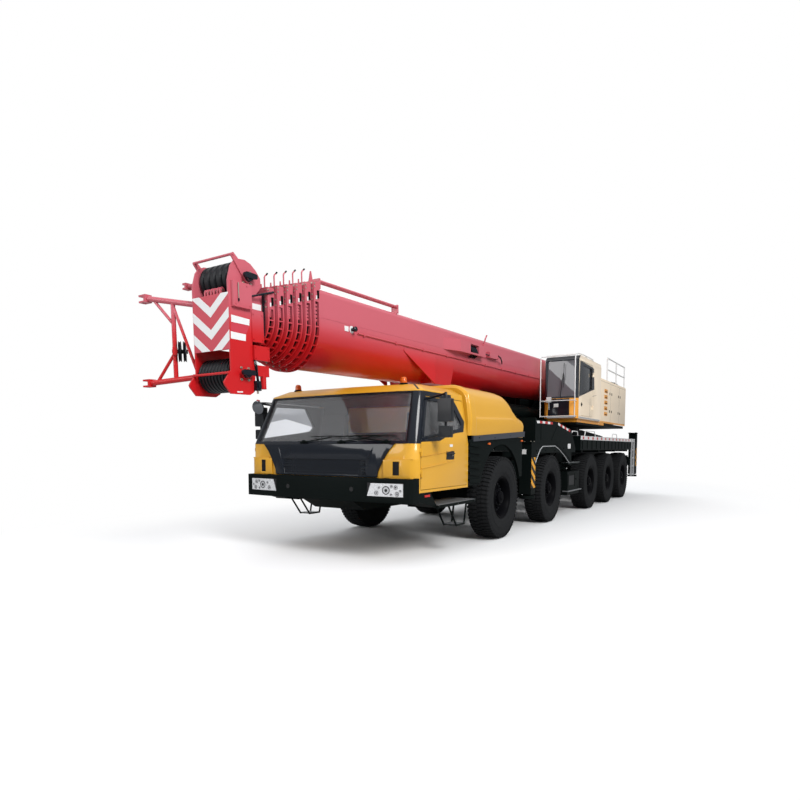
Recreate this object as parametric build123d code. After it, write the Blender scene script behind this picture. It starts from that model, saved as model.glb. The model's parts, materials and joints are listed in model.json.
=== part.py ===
from build123d import *
import math
import os

# A five-axle mobile crane, in millimetres.
# Places along the machine are measured from the front axle: +X forward, +Y to its left, +Z up.
# At the end everything moves so that the origin lies under the middle of the whole machine.

# Clearances: between pieces that seat, at pins, and between pieces that move past each other
SEAT_FIT = 0.3
PIN_FIT = 0.5
JOINT_GAP = 6

# Running gear
AXLE_X = (0, -2550, -5700, -7600, -9500)
STEERED_AXLES = (0, 1)
TYRE_R = 685
TYRE_W = 370
TYRE_SHOULDER = 45
TYRE_BEAD_R = 330
WHEEL_Y = 1303
RIM_WALL = 22
RIM_LIP = 18
DISC_SET = 40
HUB_R = 165
HUB_CAP = 95
SPINDLE_R = 62
SPINDLE_FIT = 0.5
AXLE_Z = 685
# how far the whole machine rises on its tyres
LIFT = TYRE_R - AXLE_Z
ARCH_GAP = 195
SHIELD_GAP = 40
AXLE_BEAM_W = 190
AXLE_BEAM_H = 210
DIFF_R = 235
KINGPIN_Y = 985
KINGPIN_R = 45
KNUCKLE_ARM = 70
KNUCKLE_H = 300
STRUT_Y = 560
STRUT_R = 55
STRUT_TOP = 1165

# Chassis frame
FRAME_HALF_W = 450
FRAME_BOTTOM = 945
FRAME_TOP_FRONT = 1330
FRAME_TOP_REAR = 1740
FRAME_RISE_X = (-3900, -4600)
NOSE_BOTTOM = 640
NOSE_TOP = 905
NOSE_FRONT_X = 2835
FRAME_REAR_X = -11740
FRAME_TAIL_X = -11000
CAB_MOUNT_X = (1500, 2560)
HOOD_BEARER_X = (-850, 700)
CONSOLE_X = (-5000, -6650, -8550, -10300)

# Outriggers: x of each beam's middle, side, jack foot and column heights
BEAM_W = 250
BEAM_H = 280
BEAM_Z = 1075
BEAM_GAP = 6
BEAM_INNER_Y = -1120
BEAM_STROKE = 2000
OUTRIGGER_WALL = 40
OUTRIGGER_BOX_Y = 1180
JACK_Y = 1365
JACK_TUBE = 230
JACK_RAM_R = 78
FOOT_R = 145
FOOT_H = 55
FOOT_BOTTOM = 560
JACK_STROKE = FOOT_BOTTOM
# columns: name, beam middle x, side (1 left, -1 right), column bottom z, column top z
OUTRIGGERS = (
    ("front_left", -1440, 1, 640, 1600),
    ("front_right", -1110, -1, 640, 1600),
    ("rear_left", -11540, 1, 640, 1990),
    ("rear_right", -11210, -1, 640, 1990),
)

# Driving cab
CAB_REAR_X = 1300
CAB_SIDE_Y = 1450
CAB_CORNER_X = 2690
CAB_CORNER_BULGE = 14
CAB_FRONT_EDGE = (2785, 1350)
CAB_NOSE_X = 2860
CAB_FLOOR_Z = 930
CAB_WAIST_Z = 1560
CAB_EAVE_Z = 2270
CAB_ROOF_Z = 2360
CAB_WALL = 55
CAB_LEAN_FRONT = 290
CAB_LEAN_SIDE = 110
ROOF_INSET = 170
PANEL_GAP = 7
GLASS_T = 12
GLASS_SET = 16
DOOR_INNER_Y = 1230
CAB_DOOR = ((1330, 965), (2680, 965), (2680, CAB_WAIST_Z), (2410, 2190), (1330, 2190))
CAB_WINDOW = ((2590, 1640), (2385, 2130), (1690, 2150), (1430, 1850), (1500, 1775), (1800, 1735))
CAB_HINGE_Z = (1130, 1400)
HINGE_R = 15
HINGE_L = 50
HINGE_PIN_R = 7
HINGE_REACH = 34
WINDSCREEN = ((-1290, 1590), (1290, 1590), (1215, 2235), (-1215, 2235))
REAR_WINDOW = ((-700, 1750), (700, 1750), (700, 2150), (-700, 2150))
GRILLE = ((-1150, CAB_WAIST_Z), (1150, CAB_WAIST_Z), (1060, 1465), (970, 1330), (905, 1200), (890, 1120),
          (-890, 1120), (-905, 1200), (-970, 1330), (-1060, 1465))
GRILLE_OUT = 24
GRILLE_RECESS = ((720, 1150, 1245), (720, 1265, 1345))
GRILLE_RECESS_DEEP = 14
POD_OUT = 22
POD_Z = (1122, 1352)
POD_Y = 985
POD_SLOT = (1120, 1215, 1155, 1330)
BUMPER_OUT = 110
BUMPER_Z = (805, 1115)
BUMPER_REAR_X = 2712

# Engine hood
HOOD_X = (1240, -990)
HOOD_SIDE_Y = 1450
HOOD_BOTTOM = 1690
HOOD_TOP = 2455
# the hood across: half width and height, from its foot up over the crease and the round shoulder
HOOD_ACROSS = ((1450, HOOD_BOTTOM), (1462, 1900), (1446, 2080), (1412, 2300), (1368, 2400), (1290, HOOD_TOP))
HOOD_WALL = 35
ARCH_TOP_T = 20
ENGINE = (800, -450, 330, 2050)

# Decks
DECK_Y = 1485
DECK_BOX_X = (-4640, -10900)
DECK_BOX_Z = (1450, 1790)
DECK_INNER_Y = 960
SHIELD_Y = (1000, 1460)
SHIELD_BOTTOM = AXLE_Z + TYRE_R + SHIELD_GAP

# Slewing upper
SLEW_X = -6500
RING_R = 880
RING_Z = (1740, 1900)
UPPER_Z = (1906, 2150)
UPPER_X = (-5350, -7700)
TAIL_X = (-7000, -10400)
TAIL_BOTTOM = 2115
UPPER_HALF_W = 620
CHEEK_Y = (560, 620)
PIVOT_X = -8700
PIVOT_Z = 3150
PIVOT_R = 90
HOUSING_X = (-7050, -10500)
HOUSING_Y = (640, 1300)
HOUSING_Z = (2190, 3400)
WINCH_X = -10020
WINCH_Z = 2790
DRUM_R = 225
FLANGE_R = 300
DRUM_HALF_W = 430
DRUM_SHAFT_R = 60

# Operator's cab
OPCAB_X = (-4420, -6560)
OPCAB_Y = (665, 1460)
OPCAB_Z = (2190, 3640)
OPCAB_WALL = 50
OPCAB_LEAN = 60
OPCAB_CORNER = 70
OPCAB_ARM = (-4550, -7200)
OPCAB_ARM_Z = 2060
OPCAB_DOOR_X = (-4560, -5720)
OPCAB_DOOR_Z = (2260, 3520)
OPCAB_HINGE_Z = (2450, 3250)

# Boom: stations along it are measured from its pivot, heights from the pivot's line
TILT = 1.5
BOOM_W = 960
BOOM_LOW = -325
BOOM_HIGH = 615
BOOM_REAR_U = -450
BOOM_FRONT_U = 12320
BOOM_WALL = 12
SECTION_COUNT = 7
SECTION_STEP_W = 70
SECTION_STEP_H = 68
SECTION_REAR_U = -420
SECTION_REAR_STEP = 40
COLLAR_PITCH = 118
COLLAR_L = 104
COLLAR_OUT = 48
COLLAR_WEB = 12
FLANGE_T = 20
COLLAR_BOX_H = 190
COLLAR_RIB_T = 14
COLLAR_RIBS = (-75, -50, -25, 0, 25, 50, 75)
TOP_CORNER_R = 70
PAD_W = 200
PAD_X = (92, 12)
LUG_TOP = 2760
STROKE = 9600
# the luffing lug's side gussets: points along the boom and up, and the leaning cheek behind them
GUSSET = ((10230, 120), (10230, 80), (9270, -350), (9270, 120))
GUSSET_Y = (466, 486)
CHEEK = ((485, 80), (400, -330), (200, -330), (200, 80))
CHEEK_U = (8560, 9270)
# boxes on the left of the base section: outline seen from above, then their heights
HOSE_BOX = ((9000, 470), (8550, 600), (7500, 600), (7500, 470))
HOSE_BOX_W = (255, 455)
HOSE_BOX_MOUTH = (7800, 8150, 285, 430, 520)
SMALL_BOX = (6770, 7210, 470, 560, 290, 400)
HOOK = ((7360, 474, 420), (7330, 520, 640), (7290, 530, 700))
HOOK_R = 14
# the double tube over the left edge of the base section
STRUT_U = (10380, 12150)
STRUT_TUBE_Y = (400, 455)
STRUT_W = 705
STRUT_TUBE_R = 16

# Boom head
HEAD_FRONT_U = 13420
HEAD_PLATE_T = 22
HEAD_LOW_W = -245
HEAD_HIGH_W = 350
LAST_SECTION_FRONT_U = 13200
SHEAVE_R = 188
SHEAVE_HALF_W = 240
SHEAVE_PIN_R = 45
TOP_SHEAVE = (13160, 545)
LOW_SHEAVE = (13230, -495)
LOBE_FRONT_U = 13520
LOBE_TIP_W = -605
# the head's side plate, from its rear edge up over the top sheaves and round the low ones
HEAD_PLATE = (
    (13075, -490), (13105, -170), (13095, 320), (12950, 480), (12956, 575), (13020, 650), (13095, 705),
    (13180, 730), (13260, 722), (13330, 690), (13375, 630), (HEAD_FRONT_U, 480), (HEAD_FRONT_U, -470),
    (LOBE_FRONT_U - 12, LOBE_TIP_W + 25), (LOBE_FRONT_U, LOBE_TIP_W), (LOBE_FRONT_U - 12, LOBE_TIP_W - 25),
    (13430, -717), (13160, -717), (13095, -680),
)
HEAD_HUB_R = 60
HEAD_HUB_OUT = 26
HEAD_PIN_OUT = 60
TOP_GUARD = (13360, 748)
LOW_GUARD = (13450, -495)
GUARD_R = 14
# boxes on the head: sides, from and to along the boom, inner and outer y, low and high
HEAD_BOXES = (
    ((1,), 13130, 13390, 285, 334, 205, 470),
    ((1, -1), 12935, 13110, 271, 302, -130, 215),
    ((1, -1), 12880, 13110, 285, 325, -330, -170),
    ((1, -1), 12860, 13090, 246, 290, -500, -380),
)
# the tube under the last of them: place along the boom, y, low end and radius
HEAD_STUB = (12930, 262, -640, 34)
SIDE_LUG = (13240, -580, 560)
SIDE_LUG_R = 22
JIB_ARM_R = 32
JIB_ROOT_BACK = 90
JIB_REACH = 765
JIB_LEAN = 110
# height of each arm at its root and at its fork
JIB_ARM_W = ((290, 450), (-490, -530))
JIB_UPRIGHT = 0.5
JIB_PIN_R = 25
JIB_UPRIGHT_R = 26
JIB_STAY_R = 18
# stays of the bracket: share of its reach and height, at both ends
JIB_STAYS = (
    ((0.85, 400), (0.5, 120)),
    ((0.85, -500), (0.5, -200)),
    ((0.5, 330), (0.08, -440)),
)
GUIDE_R = 120
GUIDE_PIN_R = 24
GUIDE_W = -185
GUIDE_IN = 80
GUIDE_TURN = 50
GUIDE_BOSS = 45

# Lamps, mirrors, steps and rails
LAMP_Y = (800, 1330)
LAMP_Z = (880, 1060)
LAMP_DEEP = 60
BEACON = (2290, 950, 2470)
MIRROR = (2390, 1650)
MIRROR_HALF_X = 45
MIRROR_ROUND = 18
MIRROR_ARM_TOP = (2300, 1150, 2120)
MIRROR_ARM_LOW = (2560, 1250, 1595)
MIRROR_Z = (1840, 2140)
LOW_MIRROR_Z = (1640, 1790)
STACK_X = (910, CAB_REAR_X - SEAT_FIT)
TOOLBOX_X = (-3720, -4650)
TOOLBOX_Z = (460, 980)
TOOLBOX_BACK = 55
TOOLBOX_ARMS = (-3900, -4470)
BUMPER_RETURN = ((2700, CAB_FLOOR_Z - SEAT_FIT), (2700, 815), (2235, 702), (2235, 738),
                 (2410, CAB_FLOOR_Z - SEAT_FIT))
U_STEP = ((1950, 720), (1700, 410), (1450, 410), (1380, 720))
U_STEP_Y = (1265, 1465)
U_STEP_R = 14
LADDER_X = -10560
RAIL_POSTS = (-8100, -9250, -10400)
RAIL_H = 640
RAIL_R = 18

# Luffing cylinder
BARREL_PIN = (-5900, 2380)
ROD_PIN = (-1500, 2330)
LUFF_MAX = 80
BARREL_R = 180
ROD_R = 120
BARREL_L = 4030
BARREL_BORE_FROM = 450
BORE_END_GAP = 20
EYE_W = 280
CYL_PIN_R = 60


def block(x0, x1, y0, y1, z0, z1):
    size = Box(abs(x1 - x0), abs(y1 - y0), abs(z1 - z0))
    return Pos((x0 + x1) / 2, (y0 + y1) / 2, (z0 + z1) / 2) * size


def side_plate(points, y0, y1):
    """An outline in the XZ plane, solid from y0 to y1."""
    face = Face(Wire.make_polygon([(x, y0, z) for x, z in points], close=True))
    return extrude(face, amount=abs(y1 - y0), dir=(0, math.copysign(1, y1 - y0), 0))


def front_plate(points, x0, x1):
    """An outline in the YZ plane, solid from x0 to x1."""
    face = Face(Wire.make_polygon([(x0, y, z) for y, z in points], close=True))
    return extrude(face, amount=abs(x1 - x0), dir=(math.copysign(1, x1 - x0), 0, 0))


def floor_plate(points, z0, z1):
    """An outline in the XY plane, solid from z0 to z1."""
    face = Face(Wire.make_polygon([(x, y, z0) for x, y in points], close=True))
    return extrude(face, amount=abs(z1 - z0), dir=(0, 0, math.copysign(1, z1 - z0)))


def bar(start, end, radius):
    """A round bar between two points."""
    a, b = Vector(*start), Vector(*end)
    plane = Plane(origin=(a + b) * 0.5, z_dir=(b - a))
    return plane * Cylinder(radius, (b - a).length)


def seated_bar(inside, end, radius, skin):
    """A round bar from a closed form's skin, cut along it, to a point outside."""
    point, normal = skin.find_intersection_points(Axis(end, Vector(*inside) - Vector(*end)))[0]
    seat = Plane(origin=point + normal * SEAT_FIT, z_dir=normal)
    return split(bar(inside, end, radius), bisect_by=seat, keep=Keep.TOP)


def cross_bar(x, z, y0, y1, radius):
    """A round bar across the machine."""
    return bar((x, y0, z), (x, y1, z), radius)


def other_side(shape):
    return mirror(shape, about=Plane.XZ)


def both_sides(shape):
    return [shape, other_side(shape)]


def fused(parts):
    whole = parts[0]
    for piece in parts[1:]:
        whole = whole + piece
    return whole


def apart(parts):
    """Several solids in one sub-part."""
    solids = []
    for piece in parts:
        solids += list(piece.solids())
    return Compound(solids)


def turned(profile, x, z):
    """A profile of radius and y, turned about the line across the machine through x and z."""
    face = Face(Wire.make_polygon([(x + r, y, z) for r, y in profile], close=True))
    return revolve(face, axis=Axis((x, 0, z), (0, 1, 0)), revolution_arc=360)


def wheel(x, side):
    """A tyre and, inside it, its rim with disc and hub."""
    half = TYRE_W / 2
    mid = WHEEL_Y
    tyre = [
        (TYRE_R, mid - half + TYRE_SHOULDER), (TYRE_R, mid + half - TYRE_SHOULDER),
        (TYRE_R - TYRE_SHOULDER, mid + half), (TYRE_BEAD_R, mid + half - RIM_LIP),
        (TYRE_BEAD_R, mid - half + RIM_LIP), (TYRE_R - TYRE_SHOULDER, mid - half),
    ]
    outer = TYRE_BEAD_R - SEAT_FIT
    inner = outer - RIM_WALL
    disc = mid + DISC_SET
    bore = SPINDLE_R + SPINDLE_FIT
    rim = [
        (bore, disc - 170), (HUB_R, disc - 170), (HUB_R, disc - RIM_WALL), (inner, disc - RIM_WALL),
        (inner, mid - half + RIM_LIP), (outer, mid - half + RIM_LIP), (outer, mid + half - RIM_LIP),
        (inner, mid + half - RIM_LIP), (inner, disc), (HUB_R, disc), (HUB_R - 25, disc + HUB_CAP),
        (0, disc + HUB_CAP), (0, disc - 20), (bore, disc - 20),
    ]
    solids = [turned(tyre, x, AXLE_Z), turned(rim, x, AXLE_Z)]
    if side < 0:
        solids = [other_side(s) for s in solids]
    return apart(solids)


def spindle(x):
    """The stub on which a left wheel turns, from the kingpin's side to inside the hub."""
    return cross_bar(x, AXLE_Z, KINGPIN_Y, WHEEL_Y + DISC_SET - 30, SPINDLE_R)


def knuckle(x, side):
    """A steering knuckle: two arms over and under the beam's eye, and the wheel's spindle."""
    arm_out = KINGPIN_Y + 105
    low, high = AXLE_Z - KNUCKLE_H / 2, AXLE_Z + KNUCKLE_H / 2
    eye = AXLE_BEAM_H / 2 + JOINT_GAP
    body = fused([
        block(x - KNUCKLE_ARM, x + KNUCKLE_ARM, KINGPIN_Y + 78, arm_out, low, high),
        block(x - KNUCKLE_ARM, x + KNUCKLE_ARM, KINGPIN_Y - KNUCKLE_ARM, arm_out, AXLE_Z + eye, high),
        block(x - KNUCKLE_ARM, x + KNUCKLE_ARM, KINGPIN_Y - KNUCKLE_ARM, arm_out, low, AXLE_Z - eye),
        bar((x, KINGPIN_Y, low), (x, KINGPIN_Y, high), KINGPIN_R),
        cross_bar(x, AXLE_Z, KINGPIN_Y + 90, WHEEL_Y + DISC_SET - 30, SPINDLE_R),
    ])
    return body if side > 0 else other_side(body)


def axle_beams():
    """Five beams with their gear housings, and the struts that carry the frame."""
    pieces = []
    for number, x in enumerate(AXLE_X):
        steered = number in STEERED_AXLES
        reach = KINGPIN_Y if steered else KINGPIN_Y + 120
        half_w, half_h = AXLE_BEAM_W / 2, AXLE_BEAM_H / 2
        parts = [block(x - half_w, x + half_w, -reach, reach, AXLE_Z - half_h, AXLE_Z + half_h)]
        parts.append(bar((x - 260, 0, AXLE_Z), (x + 260, 0, AXLE_Z), DIFF_R))
        for side in (1, -1):
            parts.append(bar((x, side * STRUT_Y, AXLE_Z), (x, side * STRUT_Y, STRUT_TOP), STRUT_R))
            if not steered:
                stub = spindle(x)
                parts.append(stub if side > 0 else other_side(stub))
        beam = fused(parts)
        if steered:
            for side in (1, -1):
                y = side * KINGPIN_Y
                beam = beam + bar((x, y, AXLE_Z - half_h), (x, y, AXLE_Z + half_h), 70)
                beam = beam - bar((x, y, AXLE_Z - 200), (x, y, AXLE_Z + 200), KINGPIN_R + PIN_FIT)
                room = block(x - 300, x + 300, side * (KINGPIN_Y + 200), side * (KINGPIN_Y + 72), 0, 2000)
                beam = beam - room
        pieces.append(beam)
    return pieces


def strut_seats():
    """Cross-members that stand on the struts beside the frame."""
    parts = []
    for x in AXLE_X:
        for side in (1, -1):
            inner, outer = side * (FRAME_HALF_W - 20), side * (STRUT_Y + 75)
            seat = block(x - 80, x + 80, inner, outer, STRUT_TOP + SEAT_FIT, STRUT_TOP + 110)
            parts.append(seat)
    return parts


def frame_consoles():
    """Arms that carry the deck boxes, posts under the hood and mounts under the cab."""
    parts = []
    inner = FRAME_HALF_W - 20
    for side in (1, -1):
        for x in CONSOLE_X:
            top = DECK_BOX_Z[0] - SEAT_FIT
            parts.append(block(x - 40, x + 40, side * inner, side * (DECK_Y - 60), top - 50, top))
        for x in HOOD_BEARER_X:
            top = HOOD_BOTTOM - ARCH_TOP_T - SEAT_FIT
            parts.append(block(x - 50, x + 50, side * 345, side * inner, FRAME_TOP_FRONT - 20, top))
            parts.append(block(x - 50, x + 50, side * 345, side * (HOOD_SIDE_Y - 80), top - 70, top))
        for x in CAB_MOUNT_X:
            parts.append(block(x - 60, x + 60, side * 300, side * inner, NOSE_TOP - 20, CAB_FLOOR_Z - SEAT_FIT))
    return parts


def outrigger_box(x_left, x_right):
    """A cross-box with one sleeve for the left beam and one for the right."""
    half = BEAM_W / 2 + BEAM_GAP
    x0 = min(x_left, x_right) - half - OUTRIGGER_WALL
    x1 = max(x_left, x_right) + half + OUTRIGGER_WALL
    z0 = BEAM_Z - BEAM_H / 2 - BEAM_GAP
    z1 = BEAM_Z + BEAM_H / 2 + BEAM_GAP
    box = block(x0, x1, -OUTRIGGER_BOX_Y, OUTRIGGER_BOX_Y, z0 - OUTRIGGER_WALL, z1 + OUTRIGGER_WALL)
    holes = [block(x - half, x + half, -2000, 2000, z0, z1) for x in (x_left, x_right)]
    return box, holes


def chassis_frame():
    points = [
        (NOSE_FRONT_X, NOSE_BOTTOM + 170), (NOSE_FRONT_X, NOSE_TOP), (1150, NOSE_TOP), (950, FRAME_TOP_FRONT),
        (FRAME_RISE_X[0], FRAME_TOP_FRONT), (FRAME_RISE_X[1], FRAME_TOP_REAR),
        (FRAME_REAR_X, FRAME_TOP_REAR), (FRAME_REAR_X, FRAME_BOTTOM + 60), (FRAME_TAIL_X, FRAME_BOTTOM),
        (900, FRAME_BOTTOM), (1050, NOSE_BOTTOM), (2500, NOSE_BOTTOM),
    ]
    body = side_plate(points, -FRAME_HALF_W, FRAME_HALF_W)
    body = fused([body] + strut_seats() + frame_consoles())
    ring = bar((SLEW_X, 0, FRAME_TOP_REAR - 200), (SLEW_X, 0, RING_Z[1]), RING_R)
    body = body + ring
    for left, right in ((OUTRIGGERS[0][1], OUTRIGGERS[1][1]), (OUTRIGGERS[2][1], OUTRIGGERS[3][1])):
        box, holes = outrigger_box(left, right)
        body = body + box
        for hole in holes:
            body = body - hole
    for name, x, side, low, high in OUTRIGGERS:
        body = fused([body] + sleeve_pads(x, side))
    return body


def sleeve_pads(x, side):
    """Wear pads at the sleeve's mouth, under and over the beam."""
    half = BEAM_H / 2 + BEAM_GAP
    reach = BEAM_GAP - SEAT_FIT
    pads = []
    for sign in (1, -1):
        outer = BEAM_Z + sign * (half + OUTRIGGER_WALL / 2)
        inner = BEAM_Z + sign * (half - reach)
        pads.append(block(x - 70, x + 70, side * (OUTRIGGER_BOX_Y - 120), side * OUTRIGGER_BOX_Y,
                          min(outer, inner), max(outer, inner)))
    return pads


def outrigger_beam(x, side, low, high):
    """A sliding beam with the hollow column of its jack."""
    half = BEAM_W / 2
    y_end = JACK_Y - JACK_TUBE / 2
    beam = block(x - half, x + half, BEAM_INNER_Y, y_end + 20, BEAM_Z - BEAM_H / 2, BEAM_Z + BEAM_H / 2)
    column = block(x - JACK_TUBE / 2, x + JACK_TUBE / 2, y_end, JACK_Y + JACK_TUBE / 2, low, high)
    body = beam + column
    body = body - bar((x, JACK_Y, low - 10), (x, JACK_Y, high - 40), JACK_RAM_R + PIN_FIT)
    return body if side > 0 else other_side(body)


def outrigger_jack(x, side, high):
    """The ram that slides in the column, with its round foot."""
    body = fused([
        bar((x, JACK_Y, FOOT_BOTTOM + FOOT_H - 10), (x, JACK_Y, high - 60), JACK_RAM_R),
        bar((x, JACK_Y, FOOT_BOTTOM), (x, JACK_Y, FOOT_BOTTOM + FOOT_H), FOOT_R),
    ])
    return body if side > 0 else other_side(body)


def cab_plan(z, inset, lean_front, lean_side):
    """The cab's outline at one height: straight sides, rounded corners and a bowed front."""
    y = CAB_SIDE_Y - inset - lean_side
    corner = (CAB_CORNER_X - lean_front, y)
    edge = (CAB_FRONT_EDGE[0] - inset - lean_front, CAB_FRONT_EDGE[1] - inset * 0.6 - lean_side)
    nose = (CAB_NOSE_X - inset - lean_front, 0)
    mid = ((corner[0] + edge[0]) / 2 + CAB_CORNER_BULGE, (corner[1] + edge[1]) / 2 + CAB_CORNER_BULGE)
    rear = CAB_REAR_X + inset
    edges = [
        Edge.make_line((rear, -y, z), (corner[0], -y, z)),
        ThreePointArc((corner[0], -y, z), (mid[0], -mid[1], z), (edge[0], -edge[1], z)).edge(),
        ThreePointArc((edge[0], -edge[1], z), (nose[0], 0, z), (edge[0], edge[1], z)).edge(),
        ThreePointArc((edge[0], edge[1], z), (mid[0], mid[1], z), (corner[0], y, z)).edge(),
        Edge.make_line((corner[0], y, z), (rear, y, z)),
        Edge.make_line((rear, y, z), (rear, -y, z)),
    ]
    return Face(Wire(edges))


def cab_form(inset):
    """The closed form of the cab, drawn in by inset on every side."""
    waist = cab_plan(CAB_WAIST_Z, inset, 0, 0)
    lower = extrude(cab_plan(CAB_FLOOR_Z + inset, inset, 0, 0), amount=CAB_WAIST_Z - CAB_FLOOR_Z - inset,
                    dir=(0, 0, 1))
    eave = cab_plan(CAB_EAVE_Z - inset * 0.3, inset, CAB_LEAN_FRONT, CAB_LEAN_SIDE)
    upper = loft([waist, eave])
    roof = cab_plan(CAB_ROOF_Z - inset, inset, CAB_LEAN_FRONT + ROOF_INSET, CAB_LEAN_SIDE + ROOF_INSET)
    top = loft([eave, roof])
    return lower + upper + top


def cab_pieces():
    outer = cab_form(0)
    wall = outer - cab_form(CAB_WALL)
    screen = front_plate(WINDSCREEN, 2000, 3200)
    window = side_plate(CAB_WINDOW, DOOR_INNER_Y, 1700)
    rear_window = front_plate(REAR_WINDOW, 1200, 1400)
    opening = side_plate(CAB_DOOR, DOOR_INNER_Y, 1700)
    x0, z0 = CAB_DOOR[0]
    x1, x2, z2 = CAB_DOOR[1][0], CAB_DOOR[3][0], CAB_DOOR[3][1]
    gap = PANEL_GAP
    leaf_outline = ((x0 + gap, z0 + gap), (x1 - gap, z0 + gap), (x1 - gap, CAB_WAIST_Z - gap / 2),
                    (x2 - gap, z2 - gap), (x0 + gap, z2 - gap))
    leaf_room = side_plate(leaf_outline, DOOR_INNER_Y + gap, 1700)
    shell = wall + corner_pod() + other_side(corner_pod())
    shell = shell - screen - rear_window - opening - other_side(opening)
    leaf = (wall & leaf_room) - window
    glazing = cab_form(GLASS_SET) - cab_form(GLASS_SET + GLASS_T)
    screen_glass = glazing & front_plate(drawn_in(WINDSCREEN), 2000, 3200)
    rear_glass = glazing & front_plate(drawn_in(REAR_WINDOW), 1200, 1400)
    pane = glazing & side_plate(drawn_in(CAB_WINDOW), DOOR_INNER_Y, 1700)
    for z in CAB_HINGE_Z:
        low, high = hinge_pair(x1 - gap / 2, CAB_SIDE_Y, z, -1)
        leaf = leaf + low
        shell = shell + high + other_side(high)
    return shell, leaf, pane, [screen_glass, rear_glass]


def drawn_in(points):
    """An outline with each corner a seat's clearance nearer to its middle."""
    ca = sum(p[0] for p in points) / len(points)
    cb = sum(p[1] for p in points) / len(points)
    corners = []
    for a, b in points:
        away = math.hypot(a - ca, b - cb)
        corners.append((a - (a - ca) / away * SEAT_FIT * 1.4, b - (b - cb) / away * SEAT_FIT * 1.4))
    return corners


def hinge_pair(x, y, z, leaf_side):
    """A door hinge outside a left wall: the leaf's knuckle and, over it, the wall's, with its pin."""
    mid = y + HINGE_R
    low = bar((x, mid, z), (x, mid, z + HINGE_L), HINGE_R)
    low = low + block(x, x + leaf_side * HINGE_REACH, y - 8, mid, z, z + HINGE_L)
    low = low - bar((x, mid, z - 10), (x, mid, z + HINGE_L + 10), HINGE_PIN_R + PIN_FIT)
    base = z + HINGE_L + SEAT_FIT
    high = bar((x, mid, base), (x, mid, base + HINGE_L), HINGE_R)
    high = high + block(x, x - leaf_side * HINGE_REACH, y - 8, mid, base, base + HINGE_L)
    high = high + bar((x, mid, z + 4), (x, mid, base + 5), HINGE_PIN_R)
    return low, high


def band(out, z0, z1):
    """A band that follows the cab's front, out by the given distance."""
    return extrude(cab_plan(z0, -out, 0, 0), amount=z1 - z0, dir=(0, 0, 1))


def corner_pod():
    """The raised panel at the cab's left front corner, with its air slot."""
    y0, y1, z0, z1 = POD_SLOT
    pod = band(POD_OUT, *POD_Z) - band(-5, POD_Z[0] - 10, POD_Z[1] + 10)
    pod = pod & block(BUMPER_REAR_X, 3200, POD_Y, 1600, 0, 3000)
    return pod - (block(BUMPER_REAR_X, 3200, y0, y1, z0, z1) - band(4, z0 - 10, z1 + 10))


def front_grille():
    ring = band(GRILLE_OUT, 1100, CAB_WAIST_Z) - band(SEAT_FIT, 1090, CAB_WAIST_Z + 10)
    panel = ring & front_plate(GRILLE, 2000, 3200)
    for half, z0, z1 in GRILLE_RECESS:
        cut = band(GRILLE_OUT + 5, z0, z1) - band(GRILLE_OUT - GRILLE_RECESS_DEEP, z0 - 10, z1 + 10)
        panel = panel - (cut & block(2000, 3200, -half, half, 0, 3000))
    return panel


def front_bumper():
    ring = band(BUMPER_OUT, *BUMPER_Z) - band(SEAT_FIT, BUMPER_Z[0] - 10, BUMPER_Z[1] + 10)
    ring = ring & block(BUMPER_REAR_X, 3200, -CAB_SIDE_Y, CAB_SIDE_Y, 0, 2000)
    pocket = (band(BUMPER_OUT + 50, LAMP_Z[0] - SEAT_FIT, LAMP_Z[1] + SEAT_FIT)
              - band(BUMPER_OUT - LAMP_DEEP - SEAT_FIT, LAMP_Z[0] - 2, LAMP_Z[1] + 2)) & block(
        BUMPER_REAR_X, 3200, LAMP_Y[0] - SEAT_FIT, LAMP_Y[1] + SEAT_FIT, 0, 2000)
    return ring - pocket - other_side(pocket)


def cab_interior():
    """Two seats, the dash and the steering wheel."""
    parts = []
    floor = CAB_FLOOR_Z + CAB_WALL
    for side in (1, -1):
        seat = fused([
            block(1620, 2080, side * 820 - 240, side * 820 + 240, floor, floor + 470),
            side_plate(((1560, floor + 300), (1700, floor + 300), (1600, floor + 1050), (1480, floor + 1050)),
                       side * 820 - 230, side * 820 + 230),
        ])
        parts.append(seat)
    dash = block(2350, 2560, -1150, 1150, floor, CAB_WAIST_Z - 40)
    wheel_column = bar((2220, 820, 1440), (2360, 820, 1366), 25)
    parts.append(dash + wheel_column + bar((2200, 820, 1450), (2235, 820, 1432), 210))
    return parts


def hood_outline(inset, bottom):
    """The hood's side: flat top, round shoulder and a low tail."""
    front, rear = HOOD_X[0] - inset, HOOD_X[1] + inset
    top = HOOD_TOP - inset
    return [
        (front, bottom), (front, top), (60, top), (-180, top - 15), (-330, top - 60), (-440, top - 135),
        (-560, top - 250), (-680, top - 335), (-800, top - 380), (rear + 20, top - 415), (rear, top - 440),
        (rear, bottom),
    ]


def hood_across(inset):
    """The hood's outline seen from the front."""
    half = [(y - inset, z - inset) for y, z in HOOD_ACROSS]
    half[0] = (half[0][0], HOOD_BOTTOM - 20 if inset else HOOD_BOTTOM)
    return half + [(-y, z) for y, z in reversed(half)]


def engine_hood():
    front, rear = HOOD_X[0] + 100, HOOD_X[1] - 100
    wide = HOOD_SIDE_Y + 50
    outer = side_plate(hood_outline(0, HOOD_BOTTOM), -wide, wide) & front_plate(hood_across(0), rear, front)
    inner = side_plate(hood_outline(HOOD_WALL, HOOD_BOTTOM - 10), -wide, wide) & front_plate(
        hood_across(HOOD_WALL), rear, front)
    return outer - inner


def engine_block():
    front, rear, half, high = ENGINE
    return block(front, rear, -half, half, FRAME_TOP_FRONT, high)


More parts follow.
